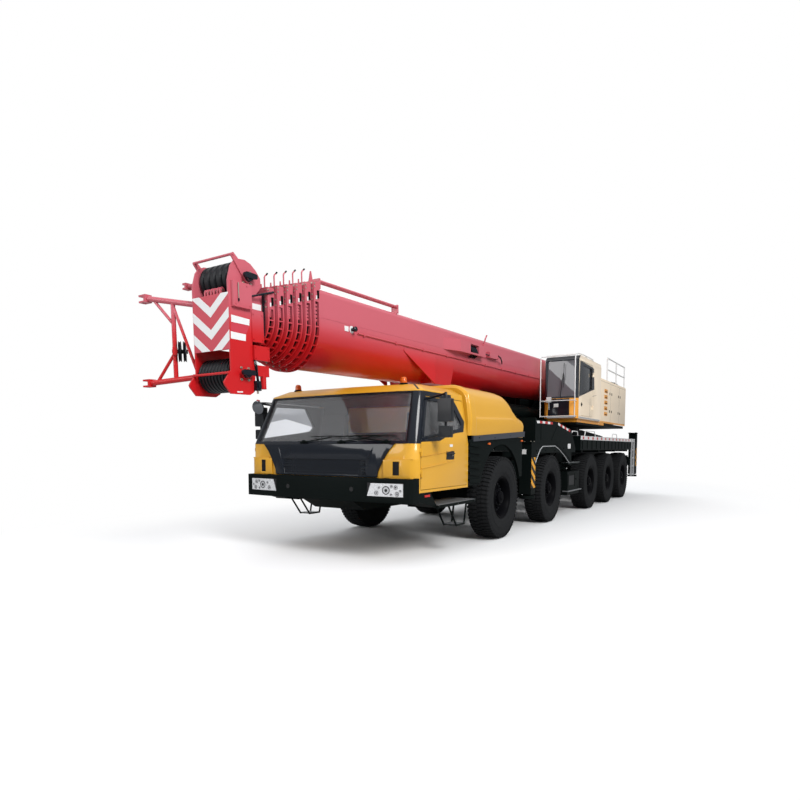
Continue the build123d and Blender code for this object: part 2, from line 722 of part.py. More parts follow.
def arch_panel(x, low, high, x0, x1, radius):
    """The panel over a wheel, with its round arch and the hoop that covers the tyre."""
    panel = block(x0, x1, 1400, 1440, low, high) + block(x0, x1, 760, 1440, high - ARCH_TOP_T, high)
    return panel - cross_bar(x, AXLE_Z, 500, 2000, radius)


def mudguards():
    parts = []
    front = arch_panel(0, 1000, HOOD_BOTTOM, -940, 880, TYRE_R + ARCH_GAP)
    parts += both_sides(front)
    return parts


def decks():
    """Side boxes, walkway plates and the shields between the hood and the upper."""
    parts = []
    low, high = DECK_BOX_Z
    box = block(DECK_BOX_X[0], DECK_BOX_X[1], DECK_INNER_Y, DECK_Y, low, high)
    parts += both_sides(box)
    shield = side_plate(((-1575, 2080), (-1700, 2040), (-2950, 2050), (-3950, 1910), (-4300, 1500), (-4300, SHIELD_BOTTOM),
                         (-1575, SHIELD_BOTTOM)), SHIELD_Y[0], SHIELD_Y[1])
    parts += both_sides(shield)
    parts.append(block(-1080, FRAME_RISE_X[0], -SHIELD_Y[0], SHIELD_Y[0], FRAME_TOP_FRONT, FRAME_TOP_FRONT + 110))
    return parts


def turntable():
    """The base plate on the slewing ring, the two cheeks and the clevis of the luffing cylinder."""
    base = block(UPPER_X[0], UPPER_X[1], -UPPER_HALF_W, UPPER_HALF_W, UPPER_Z[0], UPPER_Z[1])
    plinth = bar((SLEW_X, 0, RING_Z[1] + SEAT_FIT), (SLEW_X, 0, UPPER_Z[1]), RING_R)
    cheek = side_plate(((-6500, 2140), (-7900, 3250), (-8450, 3430), (-8950, 3430), (-9700, 3150),
                        (TAIL_X[1], 3000), (TAIL_X[1], 2140)), CHEEK_Y[0], CHEEK_Y[1])
    cab_arm = block(OPCAB_ARM[0], OPCAB_ARM[1], CHEEK_Y[1] - 10, OPCAB_Y[1] - 60, OPCAB_ARM_Z, OPCAB_Z[0] - SEAT_FIT)
    parts = [base, plinth, cheek, other_side(cheek), cab_arm, other_side(cab_arm)]
    parts.append(block(TAIL_X[0], TAIL_X[1], -HOUSING_Y[1] + 40, HOUSING_Y[1] - 40, TAIL_BOTTOM, HOUSING_Z[0] - SEAT_FIT))
    for side in (1, -1):
        inner = EYE_W / 2 + JOINT_GAP
        ear = side_plate(((-5600, 2140), (-5730, 2480), (-5900, 2520), (-6100, 2480), (-6300, 2140)),
                         side * inner, side * (inner + 60))
        parts.append(ear)
        parts.append(cross_bar(PIVOT_X, PIVOT_Z, side * (BOOM_W / 2 + JOINT_GAP), side * CHEEK_Y[1], PIVOT_R))
    parts.append(cross_bar(BARREL_PIN[0], BARREL_PIN[1], -EYE_W / 2 - 70, EYE_W / 2 + 70, CYL_PIN_R))
    body = fused(parts)
    return body - cross_bar(WINCH_X, WINCH_Z, -700, 700, DRUM_SHAFT_R + PIN_FIT)


def winch_drum():
    profile = [
        (0, -CHEEK_Y[1]), (DRUM_SHAFT_R, -CHEEK_Y[1]), (DRUM_SHAFT_R, -DRUM_HALF_W - 30),
        (FLANGE_R, -DRUM_HALF_W - 30), (FLANGE_R, -DRUM_HALF_W), (DRUM_R, -DRUM_HALF_W),
        (DRUM_R, DRUM_HALF_W), (FLANGE_R, DRUM_HALF_W), (FLANGE_R, DRUM_HALF_W + 30),
        (DRUM_SHAFT_R, DRUM_HALF_W + 30), (DRUM_SHAFT_R, CHEEK_Y[1]), (0, CHEEK_Y[1]),
    ]
    return turned(profile, WINCH_X, WINCH_Z)


def machinery_housings():
    x0, x1 = HOUSING_X
    y0, y1 = HOUSING_Y
    z0, z1 = HOUSING_Z
    outline = [(x0, z0), (x0, z1), (x1 + 60, z1), (x1, z1 - 60), (x1, z0 + 60)]
    return both_sides(side_plate(outline, y0, y1))


def opcab_form(inset):
    front, rear = OPCAB_X[0] - inset, OPCAB_X[1] + inset
    low, high = OPCAB_Z[0] + inset, OPCAB_Z[1] - inset
    outline = [(front - 20, low), (front, low + 120), (front, low + 480), (front - OPCAB_LEAN, high - 90),
               (front - OPCAB_LEAN - 120, high), (rear + 60, high), (rear, high - 80), (rear, low)]
    y0, y1 = OPCAB_Y[0] + inset, OPCAB_Y[1] - inset
    cut = OPCAB_CORNER - inset * 0.4
    plan = [(front, y0 + cut), (front, y1 - cut), (front - cut, y1), (rear, y1), (rear, y0), (front - cut, y0)]
    return side_plate(outline, y0, y1) & floor_plate(plan, low - 50, high + 50)


def operator_cab():
    wall = opcab_form(0) - opcab_form(OPCAB_WALL)
    y0, y1 = OPCAB_Y[0] + OPCAB_CORNER + 5, OPCAB_Y[1] - OPCAB_CORNER - 5
    z0, z1 = OPCAB_Z
    screen = block(-4000, OPCAB_DOOR_X[0] - 60, y0, y1, z0 + 510, z1 - 110)
    opening = block(OPCAB_DOOR_X[0] - 130, OPCAB_DOOR_X[1], OPCAB_Y[1] - 200, OPCAB_Y[1] + 200, *OPCAB_DOOR_Z)
    gap = PANEL_GAP
    room = block(OPCAB_DOOR_X[0] - 130 - gap, OPCAB_DOOR_X[1] + gap, OPCAB_Y[1] - 200, OPCAB_Y[1] + 200,
                 OPCAB_DOOR_Z[0] + gap, OPCAB_DOOR_Z[1] - gap)
    pane_outline = ((-4760, 2740), (-4800, 3440), (-5640, 3440), (-5640, 2940))
    window = side_plate(pane_outline, OPCAB_Y[1] - 200, OPCAB_Y[1] + 200)
    shell = wall - screen - opening
    leaf = (wall & room) - window
    glazing = opcab_form(GLASS_SET) - opcab_form(GLASS_SET + GLASS_T)
    fit = SEAT_FIT
    inner_screen = block(-4000, OPCAB_DOOR_X[0] - 60 + fit, y0 + fit, y1 - fit, z0 + 510 + fit, z1 - 110 - fit)
    pane = glazing & side_plate(drawn_in(pane_outline), OPCAB_Y[1] - 200, OPCAB_Y[1] + 200)
    for z in OPCAB_HINGE_Z:
        low, high = hinge_pair(OPCAB_DOOR_X[1] + gap / 2, OPCAB_Y[1], z, 1)
        leaf = leaf + low
        shell = shell + high
    return shell, leaf, pane, glazing & inner_screen


def boom_face(u, width, low, high, corner):
    """One section's outline across the boom: a box on top of a half round."""
    x = PIVOT_X + u
    radius = width / 2
    middle = PIVOT_Z + low + radius
    top = PIVOT_Z + high
    k = corner * (1 - math.sqrt(0.5))
    edges = [
        Edge.make_line((x, -radius, middle), (x, -radius, top - corner)),
        ThreePointArc((x, -radius, top - corner), (x, -radius + k, top - k), (x, -radius + corner, top)).edge(),
        Edge.make_line((x, -radius + corner, top), (x, radius - corner, top)),
        ThreePointArc((x, radius - corner, top), (x, radius - k, top - k), (x, radius, top - corner)).edge(),
        Edge.make_line((x, radius, top - corner), (x, radius, middle)),
        ThreePointArc((x, radius, middle), (x, 0, PIVOT_Z + low), (x, -radius, middle)).edge(),
    ]
    return Face(Wire(edges))


def boom_solid(u0, u1, width, low, high, corner=TOP_CORNER_R):
    return extrude(boom_face(u0, width, low, high, corner), amount=u1 - u0, dir=(1, 0, 0))


def section_size(number):
    """Width, low and high of boom section 1 (the base) to the last."""
    k = number - 1
    centre = (BOOM_LOW + BOOM_HIGH) / 2
    half = (BOOM_HIGH - BOOM_LOW - SECTION_STEP_H * k) / 2
    return BOOM_W - SECTION_STEP_W * k, centre - half, centre + half


def boom_section(number):
    """A tube with its collar and the wear pads that the next section slides on."""
    width, low, high = section_size(number)
    rear = BOOM_REAR_U if number == 1 else SECTION_REAR_U + SECTION_REAR_STEP * (number - 1)
    front = BOOM_FRONT_U + COLLAR_PITCH * (number - 1)
    if number == SECTION_COUNT:
        front = LAST_SECTION_FRONT_U
    corner = TOP_CORNER_R - 6 * (number - 1)
    wall = BOOM_WALL
    body = boom_solid(rear, front, width, low, high, corner)
    hole = boom_solid(rear - 10, front + 10, width - 2 * wall, low + wall, high - wall, corner - wall)
    if number < SECTION_COUNT:
        body = body + collar(front, width, low, high, corner)
        body = body - hole
        w, lo, hi = section_size(number + 1)
        for low_pad, z0, z1 in ((True, low + wall - 4, lo - SEAT_FIT), (False, hi + SEAT_FIT, high - wall + 4)):
            pad = block(PIVOT_X + front - PAD_X[0], PIVOT_X + front - PAD_X[1], -PAD_W / 2, PAD_W / 2,
                        PIVOT_Z + z0, PIVOT_Z + z1)
            if low_pad:
                pad = pad - boom_solid(front - 200, front + 50, w + 2 * SEAT_FIT, lo - SEAT_FIT, hi, 20)
            body = body + pad
    else:
        u, w = TOP_SHEAVE
        body = body - hole
        body = body - cross_bar(PIVOT_X + u, PIVOT_Z + w, -width, width, SHEAVE_R + 2 * JOINT_GAP)
    return body


def collar(front, width, low, high, corner):
    """The ribbed ring at a section's mouth: a web, two flanges, corner boxes and ribs round the half round."""
    out = COLLAR_OUT
    rear = front - COLLAR_L
    parts = [boom_solid(rear, front, width + 2 * COLLAR_WEB, low - COLLAR_WEB, high + COLLAR_WEB, corner)]
    for u in (rear, front - FLANGE_T):
        parts.append(boom_solid(u, u + FLANGE_T, width + 2 * out, low - out, high + out, corner))
    for side in (1, -1):
        parts.append(block(PIVOT_X + rear, PIVOT_X + front, side * (width / 2 - corner), side * (width / 2 + out),
                           PIVOT_Z + high - COLLAR_BOX_H, PIVOT_Z + high + out))
    middle = PIVOT_Z + low + width / 2
    for angle in COLLAR_RIBS:
        rib = block(PIVOT_X + rear, PIVOT_X + front, -COLLAR_RIB_T / 2, COLLAR_RIB_T / 2,
                    middle - width / 2 - out + 2, middle - width / 2 + 5)
        parts.append(rib.rotate(Axis((0, 0, middle), (1, 0, 0)), angle))
    return fused(parts)


def boom_base():
    body = boom_section(1)
    width, low, high = section_size(1)
    for side in (1, -1):
        boss = cross_bar(PIVOT_X, PIVOT_Z, side * (width / 2 - BOOM_WALL), side * (CHEEK_Y[0] - JOINT_GAP),
                         PIVOT_R + 90)
        body = body + boss
        y = EYE_W / 2 + JOINT_GAP
        lug = side_plate(((-1150, LUG_TOP), (-1250, 2330), (-1400, 2230), (-1600, 2230), (-1750, 2330),
                          (-1850, LUG_TOP)), side * y, side * (y + 50))
        lug = lug.rotate(Axis((PIVOT_X, 0, PIVOT_Z), (0, 1, 0)), -TILT)
        inside = boom_solid(0, BOOM_FRONT_U, width - 2 * BOOM_WALL, low + BOOM_WALL, high - BOOM_WALL, 40)
        gusset = side_plate([(PIVOT_X + u, PIVOT_Z + w) for u, w in GUSSET], side * GUSSET_Y[0], side * GUSSET_Y[1])
        cheek = front_plate([(side * y, PIVOT_Z + w) for y, w in CHEEK], PIVOT_X + CHEEK_U[0], PIVOT_X + CHEEK_U[1])
        body = body + ((lug + gusset + cheek) - inside)
    body = body + hose_box() + small_box() + hook() + strut()
    for side in (1, -1):
        pin = cross_bar(PIVOT_X, PIVOT_Z, side * (width / 2 - BOOM_WALL - 20), side * 700, PIVOT_R + PIN_FIT)
        body = body - pin
    return body


def hose_box():
    low, high = HOSE_BOX_W
    box = floor_plate([(PIVOT_X + u, y) for u, y in HOSE_BOX], PIVOT_Z + low, PIVOT_Z + high)
    u0, u1, w0, w1, depth = HOSE_BOX_MOUTH
    return box - block(PIVOT_X + u0, PIVOT_X + u1, depth, 700, PIVOT_Z + w0, PIVOT_Z + w1)


def small_box():
    u0, u1, y0, y1, w0, w1 = SMALL_BOX
    return block(PIVOT_X + u0, PIVOT_X + u1, y0, y1, PIVOT_Z + w0, PIVOT_Z + w1)


def hook():
    points = [(PIVOT_X + u, y, PIVOT_Z + w) for u, y, w in HOOK]
    bars = [bar(a, b, HOOK_R) for a, b in zip(points, points[1:])]
    return fused(bars + [Pos(*point) * Sphere(HOOK_R) for point in points[1:-1]])


def strut():
    """Two thin tubes side by side over the base section's left edge, on a post at each end."""
    u0, u1 = STRUT_U
    z = PIVOT_Z + STRUT_W
    parts = [bar((PIVOT_X + u0, y, z), (PIVOT_X + u1, y, z), STRUT_TUBE_R) for y in STRUT_TUBE_Y]
    for u in STRUT_U:
        parts.append(block(PIVOT_X + u - 14, PIVOT_X + u + 14, STRUT_TUBE_Y[0] - 30, STRUT_TUBE_Y[1] + 24,
                           PIVOT_Z + BOOM_HIGH - 10, z + 24))
    return fused(parts)


def boom_head():
    """Side plates, front plate, boxes, guards and the pins of the two sheave packs."""
    half = head_half_width()
    pins = [(PIVOT_X + u, PIVOT_Z + w) for u, w in (TOP_SHEAVE, LOW_SHEAVE)]
    outline = [(PIVOT_X + u, PIVOT_Z + w) for u, w in HEAD_PLATE]
    front = PIVOT_X + HEAD_FRONT_U
    z0, z1 = PIVOT_Z + HEAD_LOW_W, PIVOT_Z + HEAD_HIGH_W
    guard_x, guard_z = PIVOT_X + TOP_GUARD[0], PIVOT_Z + TOP_GUARD[1]
    low_x, low_z = PIVOT_X + LOW_GUARD[0], PIVOT_Z + LOW_GUARD[1]
    stub_u, stub_y, stub_w, stub_r = HEAD_STUB
    lug_u, lug_y, lug_w = SIDE_LUG
    parts = [
        block(front - 25, front, -half + 5, half - 5, z0, z1),
        block(LAST_SECTION_FRONT_U + PIVOT_X + 10, front - 20, -half + 5, half - 5, z0 + 60, z0 + 85),
        cross_bar(guard_x, guard_z, -half - HEAD_HUB_OUT, half + HEAD_HUB_OUT, GUARD_R),
        cross_bar(low_x, low_z, -half, half, GUARD_R),
        bar((PIVOT_X + lug_u, -half + 5, PIVOT_Z + lug_w), (PIVOT_X + lug_u, lug_y, PIVOT_Z + lug_w), SIDE_LUG_R),
        block(PIVOT_X + lug_u - 40, PIVOT_X + lug_u + 40, lug_y - 50, lug_y + 10,
              PIVOT_Z + lug_w - 36, PIVOT_Z + lug_w + 36)
        - block(PIVOT_X + lug_u - 50, PIVOT_X + lug_u + 50, lug_y - 60, lug_y - 15,
                PIVOT_Z + lug_w - 16, PIVOT_Z + lug_w + 16),
    ]
    for side in (1, -1):
        parts.append(side_plate(outline, side * (half - HEAD_PLATE_T), side * half))
        parts.append(block(front - 20, low_x, side * (half - HEAD_PLATE_T), side * half,
                           low_z - GUARD_R - 4, low_z + GUARD_R + 4))
        for x, z in pins:
            parts.append(cross_bar(x, z, side * (half - 5), side * (half + HEAD_HUB_OUT), HEAD_HUB_R))
        x, z = pins[0]
        arm = ((x - 20, z + 55), (x + 55, z - 20), (guard_x + 22, guard_z - 12), (guard_x - 12, guard_z + 22))
        parts.append(side_plate(arm, side * (half - 2), side * (half + HEAD_HUB_OUT - 10)))
        stub_x = PIVOT_X + stub_u
        parts.append(bar((stub_x, side * stub_y, PIVOT_Z + stub_w), (stub_x, side * stub_y, PIVOT_Z - 450), stub_r))
    for sides, u0, u1, y0, y1, w0, w1 in HEAD_BOXES:
        for side in sides:
            parts.append(block(PIVOT_X + u0, PIVOT_X + u1, side * y0, side * y1, PIVOT_Z + w0, PIVOT_Z + w1))
    for x, z in pins:
        parts.append(cross_bar(x, z, -half - HEAD_PIN_OUT, half + HEAD_PIN_OUT, SHEAVE_PIN_R))
    return fused(parts)


def head_half_width():
    """Half the head's width: its plates stand just outside the last section."""
    return section_size(SECTION_COUNT)[0] / 2 + SEAT_FIT + HEAD_PLATE_T


def jib_spot(share, height):
    """A point of the bracket: share of its reach from the head, and height from the boom's pivot line."""
    x = PIVOT_X + HEAD_FRONT_U - JIB_ROOT_BACK
    root = -head_half_width() - SEAT_FIT
    return x + JIB_LEAN * share, root - JIB_REACH * share, PIVOT_Z + height


def jib_bracket():
    """The frame of tubes on the head's right: two arms with forks, an upright and its stays."""
    x, root, z = jib_spot(0, 0)
    parts = []
    heights = []
    for inner, outer in JIB_ARM_W:
        parts.append(bar(jib_spot(-0.05, inner), jib_spot(1, outer), JIB_ARM_R))
        heights.append(inner + (outer - inner) * JIB_UPRIGHT)
        fx, fy, fz = jib_spot(1, outer)
        fork = block(fx - 45, fx + 45, fy - 110, fy + 15, fz - 45, fz + 45)
        fork = fork - block(fx - 50, fx + 50, fy - 120, fy - 20, fz - 25, fz + 25)
        parts.append(fork - bar((fx, fy - 70, fz - 100), (fx, fy - 70, fz + 100), JIB_PIN_R))
    parts.append(bar(jib_spot(JIB_UPRIGHT, heights[0]), jib_spot(JIB_UPRIGHT, heights[1]), JIB_UPRIGHT_R))
    for a, b in JIB_STAYS:
        parts.append(bar(jib_spot(*a), jib_spot(*b), JIB_STAY_R))
    ux, uy, uz = jib_spot(JIB_UPRIGHT, GUIDE_W)
    upright = Axis((ux, uy, 0), (0, 0, 1))
    boss = block(ux - GUIDE_BOSS, ux + GUIDE_BOSS, uy - JIB_UPRIGHT_R, uy + JIB_UPRIGHT_R,
                 uz - GUIDE_BOSS, uz + GUIDE_BOSS)
    parts.append(boss.rotate(upright, GUIDE_TURN))
    bore = cross_bar(ux, uz, uy - 60, uy + 60, GUIDE_PIN_R + PIN_FIT)
    whole = fused(parts) - bore.rotate(upright, GUIDE_TURN)
    return whole - block(x - 500, x + 500, root, root + 400, z - 900, z + 900)


def guide_sheave_place():
    x, y, z = jib_spot(JIB_UPRIGHT, GUIDE_W)
    turn = math.radians(GUIDE_TURN)
    return x - GUIDE_IN * math.sin(turn), y + GUIDE_IN * math.cos(turn), z


def guide_sheaves():
    """Two thin wheels on one pin that runs in the boss of the bracket's upright."""
    x, y, z = jib_spot(JIB_UPRIGHT, GUIDE_W)
    pin, rim = GUIDE_PIN_R, GUIDE_R
    profile = [
        (0, -112), (pin, -112), (pin, -46), (rim, -42), (rim - 14, -27), (rim, -12), (pin, -8),
        (pin, 8), (rim, 12), (rim - 14, 27), (rim, 42), (pin, 46), (pin, 60), (0, 60),
    ]
    wheels = turned([(r, y + GUIDE_IN + s) for r, s in profile], x, z)
    return wheels.rotate(Axis((x, y, 0), (0, 0, 1)), GUIDE_TURN)


def lamps():
    """Headlamps in the bumper, beacons on the cab's roof and side markers."""
    parts = []
    lens = (band(BUMPER_OUT + 2, *LAMP_Z) - band(BUMPER_OUT - LAMP_DEEP, *LAMP_Z)) & block(
        BUMPER_REAR_X, 3200, LAMP_Y[0], LAMP_Y[1], 0, 2000)
    parts += both_sides(lens)
    dome = bar((BEACON[0], BEACON[1], CAB_ROOF_Z + SEAT_FIT), (BEACON[0], BEACON[1], BEACON[2]), 55)
    parts += both_sides(dome)
    return parts


def door_mirrors():
    """The left door's two mirrors on one upright, held by two arms that seat on the door."""
    x, y = MIRROR
    heads = []
    for half, (z0, z1) in ((95, MIRROR_Z), (85, LOW_MIRROR_Z)):
        head = block(x - MIRROR_HALF_X, x + MIRROR_HALF_X, y - half, y + half, z0, z1)
        heads.append(fillet(head.edges().filter_by(Axis.X), MIRROR_ROUND))
    return fused([
        seated_bar(MIRROR_ARM_TOP, (x, y, MIRROR_Z[1] + 60), 16, cab_form(0)),
        seated_bar(MIRROR_ARM_LOW, (x, y, LOW_MIRROR_Z[0] + 50), 14, cab_form(0)),
        bar((x, y, MIRROR_Z[1] + 80), (x, y, LOW_MIRROR_Z[0] + 20), 18),
    ] + heads)


def side_boxes():
    """The ribbed stack behind each door and the boxes between the second and third axles."""
    parts = []
    parts += both_sides(block(STACK_X[0], STACK_X[1], 1000, 1455, CAB_FLOOR_Z + 20, HOOD_BOTTOM - 60))
    low, high = TOOLBOX_Z
    box = block(TOOLBOX_X[0], TOOLBOX_X[1], 1005, 1460, low, high)
    back = block(TOOLBOX_X[0], TOOLBOX_X[1], 1005, 1005 + TOOLBOX_BACK, high - 10, SHIELD_BOTTOM - SEAT_FIT)
    step = block(TOOLBOX_X[0], TOOLBOX_X[1], 1300, 1470, high + 170, high + 200)
    arms = [block(x - 20, x + 20, 1020, 1320, high + 172, high + 198) for x in TOOLBOX_ARMS]
    parts += both_sides(fused([box, back, step] + arms))
    return parts


def u_step():
    """The hanging step under the door: two thin U bars and a tread between them."""
    bars = []
    for y in U_STEP_Y:
        corners = [(x, y, z) for x, z in U_STEP]
        bars += [bar(a, b, U_STEP_R) for a, b in zip(corners, corners[1:])]
        bars += [Pos(*corner) * Sphere(U_STEP_R) for corner in corners[1:-1]]
    x0, x1 = U_STEP[2][0], U_STEP[1][0]
    return bars + [block(x0, x1, U_STEP_Y[0], U_STEP_Y[1], U_STEP[1][1] - 6, U_STEP[1][1] + 10)]


def steps_and_rails():
    """Entry steps, the rear ladder and the grab loops on the deck."""
    parts = []
    step = fused([
        block(1080, 2260, 1000, 1480, 700, 740),
        block(1280, 1350, FRAME_HALF_W, 1010, 700, 740),
        block(2000, 2070, FRAME_HALF_W, 1010, 700, 740),
        side_plate(BUMPER_RETURN, 1180, 1440),
    ] + u_step())
    parts += both_sides(step)
    rungs = [block(LADDER_X - 15, LADDER_X + 15, DECK_Y + SEAT_FIT, DECK_Y + 45, 620, 1790),
             block(LADDER_X - 385, LADDER_X - 355, DECK_Y + SEAT_FIT, DECK_Y + 45, 620, 1790)]
    for n in range(5):
        z = 650 + 260 * n
        rungs.append(block(LADDER_X - 370, LADDER_X, DECK_Y + 5, DECK_Y + 40, z, z + 30))
    parts += both_sides(fused(rungs))
    return parts


def upper_rails():
    """Handrails on the housings and the guard in front of the operator's cab."""
    parts = []
    y0, y1 = HOUSING_Y[0] + 60, HOUSING_Y[1] - 40
    z = HOUSING_Z[1]
    for side in (1, -1):
        rail = [bar((x, side * y1, z), (x, side * y1, z + RAIL_H), RAIL_R) for x in RAIL_POSTS]
        for h in (RAIL_H, RAIL_H / 2):
            rail.append(bar((RAIL_POSTS[0], side * y1, z + h), (RAIL_POSTS[-1], side * y1, z + h), RAIL_R))
        whole = fused(rail)
        parts.append(whole - block(HOUSING_X[1] - 500, HOUSING_X[0] + 500, -2000, 2000, 0, z + SEAT_FIT))
    return parts


def sheave_pack(place, count):
    """Grooved wheels side by side on one pin, as one turning piece."""
    u, w = place
    half = SHEAVE_HALF_W
    pitch = 2 * half / count
    profile = [(SHEAVE_PIN_R + PIN_FIT, -half)]
    for n in range(count):
        y = -half + pitch * n
        profile += [(SHEAVE_R, y), (SHEAVE_R, y + pitch * 0.25), (SHEAVE_R - 30, y + pitch * 0.5),
                    (SHEAVE_R, y + pitch * 0.75)]
    profile += [(SHEAVE_R, half), (SHEAVE_PIN_R + PIN_FIT, half)]
    return turned(profile, PIVOT_X + u, PIVOT_Z + w)


def luff_cylinder():
    """Barrel with its foot eye, and rod with its open head."""
    bx, bz = BARREL_PIN
    rx, rz = ROD_PIN
    length = math.hypot(rx - bx, rz - bz)
    ux, uz = (rx - bx) / length, (rz - bz) / length

    def along(s):
        return (bx + ux * s, 0, bz + uz * s)

    barrel = bar(along(420), along(BARREL_L), BARREL_R)
    barrel = barrel + cross_bar(bx, bz, -EYE_W / 2, EYE_W / 2, 130) + bar(along(60), along(430), 100)
    barrel = barrel - cross_bar(bx, bz, -300, 300, CYL_PIN_R + PIN_FIT)
    barrel = barrel - bar(along(BARREL_BORE_FROM), along(BARREL_L + 50), ROD_R + PIN_FIT)
    rod = bar(along(BARREL_BORE_FROM + BORE_END_GAP), along(length - 80), ROD_R)
    rod = rod + cross_bar(rx, rz, -EYE_W / 2, EYE_W / 2, 125)
    rod = rod - cross_bar(rx, rz, -300, 300, CYL_PIN_R + PIN_FIT)
    return barrel, rod


def build():
    nodes = {}
    nodes["chassis_frame"] = chassis_frame()
    nodes["axle_beams"] = apart(axle_beams())
    nodes["decks"] = apart(decks())
    nodes["mudguards"] = apart(mudguards())
    nodes["engine_hood"] = engine_hood()
    nodes["engine_block"] = engine_block()
    shell, leaf, pane, glass = cab_pieces()
    nodes["cab_shell"] = shell
    nodes["cab_glass"] = apart(glass)
    door = [leaf, pane, door_mirrors()]
    nodes["cab_door_left"] = apart(door)
    nodes["cab_door_right"] = apart([other_side(piece) for piece in door])
    nodes["cab_interior"] = apart(cab_interior())
    nodes["front_grille"] = front_grille()
    nodes["front_bumper"] = front_bumper()
    nodes["lamps"] = apart(lamps())
    nodes["side_boxes"] = apart(side_boxes())
    nodes["steps_and_rails"] = apart(steps_and_rails())
    for number, x in enumerate(AXLE_X):
        for name, side in (("left", 1), ("right", -1)):
            nodes[f"wheel_{number + 1}_{name}"] = wheel(x, side)
            if number in STEERED_AXLES:
                nodes[f"knuckle_{number + 1}_{name}"] = knuckle(x, side)
    for name, x, side, low, high in OUTRIGGERS:
        nodes[f"outrigger_beam_{name}"] = outrigger_beam(x, side, low, high)
        nodes[f"outrigger_jack_{name}"] = outrigger_jack(x, side, high)
    nodes["turntable"] = turntable()
    nodes["machinery_housings"] = apart(machinery_housings())
    shell, leaf, pane, glass = operator_cab()
    nodes["operator_cab_shell"] = shell
    nodes["operator_cab_glass"] = glass
    nodes["operator_door"] = apart([leaf, pane])
    nodes["upper_rails"] = apart(upper_rails())
    nodes["winch_drum"] = winch_drum()
    barrel, rod = luff_cylinder()
    nodes["luff_barrel"] = barrel
    nodes["luff_rod"] = rod
    boom = {"boom_base": boom_base()}
    for number in range(2, SECTION_COUNT + 1):
        boom[f"boom_section_{number}"] = boom_section(number)
    boom["boom_head"] = boom_head()
    boom["sheaves_top"] = sheave_pack(TOP_SHEAVE, 5)
    boom["sheaves_low"] = sheave_pack(LOW_SHEAVE, 9)
    boom["jib_bracket"] = jib_bracket()
    boom["guide_sheaves"] = guide_sheaves()
    hinge = Axis((PIVOT_X, 0, PIVOT_Z), (0, 1, 0))
    for name, shape in boom.items():
        nodes[name] = shape.rotate(hinge, TILT)
    return nodes


def middle_x():
    """The middle of the machine's length: from the boom head's front lobe to the frame's rear end."""
    tilt = math.radians(TILT)
    front = PIVOT_X + LOBE_FRONT_U * math.cos(tilt) + LOBE_TIP_W * math.sin(tilt)
    return (front + FRAME_REAR_X) / 2


ORIGIN_X = middle_x()

os.makedirs("parts", exist_ok=True)
for name, shape in build().items():
    export_step(Pos(-ORIGIN_X, 0, LIFT) * shape, f"parts/{name}.step")
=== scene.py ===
# %% [markdown]
# A five-axle mobile crane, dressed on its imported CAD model.
# The frame holds every solid at its real size and place, and this script gives those solids their finish
# and adds what is too small or too soft for the solids. Nothing here moves a solid.

# %% Load the frame
import json
import math

import bmesh
import bpy
from mathutils import Matrix, Vector


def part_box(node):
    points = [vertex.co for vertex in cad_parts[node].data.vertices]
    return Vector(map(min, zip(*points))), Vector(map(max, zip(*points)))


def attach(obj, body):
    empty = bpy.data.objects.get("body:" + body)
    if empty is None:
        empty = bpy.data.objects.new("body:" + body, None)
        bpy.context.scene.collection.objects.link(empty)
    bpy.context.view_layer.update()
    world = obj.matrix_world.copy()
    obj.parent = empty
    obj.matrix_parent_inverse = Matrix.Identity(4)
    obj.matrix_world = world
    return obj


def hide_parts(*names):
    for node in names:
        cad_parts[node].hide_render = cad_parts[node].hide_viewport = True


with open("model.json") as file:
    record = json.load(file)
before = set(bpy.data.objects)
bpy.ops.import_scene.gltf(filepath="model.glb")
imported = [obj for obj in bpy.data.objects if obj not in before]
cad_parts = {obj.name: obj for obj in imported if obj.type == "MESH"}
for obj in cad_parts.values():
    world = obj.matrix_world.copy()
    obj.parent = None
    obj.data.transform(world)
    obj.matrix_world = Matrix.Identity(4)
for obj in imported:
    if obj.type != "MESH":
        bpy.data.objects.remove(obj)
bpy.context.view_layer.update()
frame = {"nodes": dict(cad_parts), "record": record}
NODES = frame["nodes"]


def middle(node):
    """The middle of a node's box."""
    low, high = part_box(node)
    return (Vector(low) + Vector(high)) / 2


AXLE_1 = middle("wheel_1_left").x
print("front axle at x", round(AXLE_1, 3))

# %% [markdown]
# Places along the carrier are easiest to think of from its front axle, and places on the boom from its
# foot pin, along the boom and square to it. Two small helpers turn both into the frame's own metres.

# %% Places on the carrier and on the boom
BOOM_TILT = math.radians(1.5)
PIVOT = (-8.7, 3.15)


def at(x, y, z):
    """A place measured from the front axle, in the frame."""
    return Vector((x + AXLE_1, y, z))


def on_boom(u, y, w):
    """A place on the boom: u along it from its foot pin, w square to it."""
    x = PIVOT[0] + u * math.cos(BOOM_TILT) + w * math.sin(BOOM_TILT)
    z = PIVOT[1] - u * math.sin(BOOM_TILT) + w * math.cos(BOOM_TILT)
    return at(x, y, z)


# %% [markdown]
# The camera stands where the photo was taken from: low, in front of the cab's left corner, with a wide
# lens held almost level. A small upward shift of the lens keeps upright lines upright while the boom
# stays in the picture.

# %% Camera
CAMERA_PLACE = (9.00, 5.14, 1.51)
CAMERA_YAW = 212.32
CAMERA_PITCH = -3.87
CAMERA_ROLL = 0.08
FOCAL_PIXELS = 577.3
PICTURE_PIXELS = 800
SENSOR_MM = 36.0
SHIFT_PIXELS = 86.6

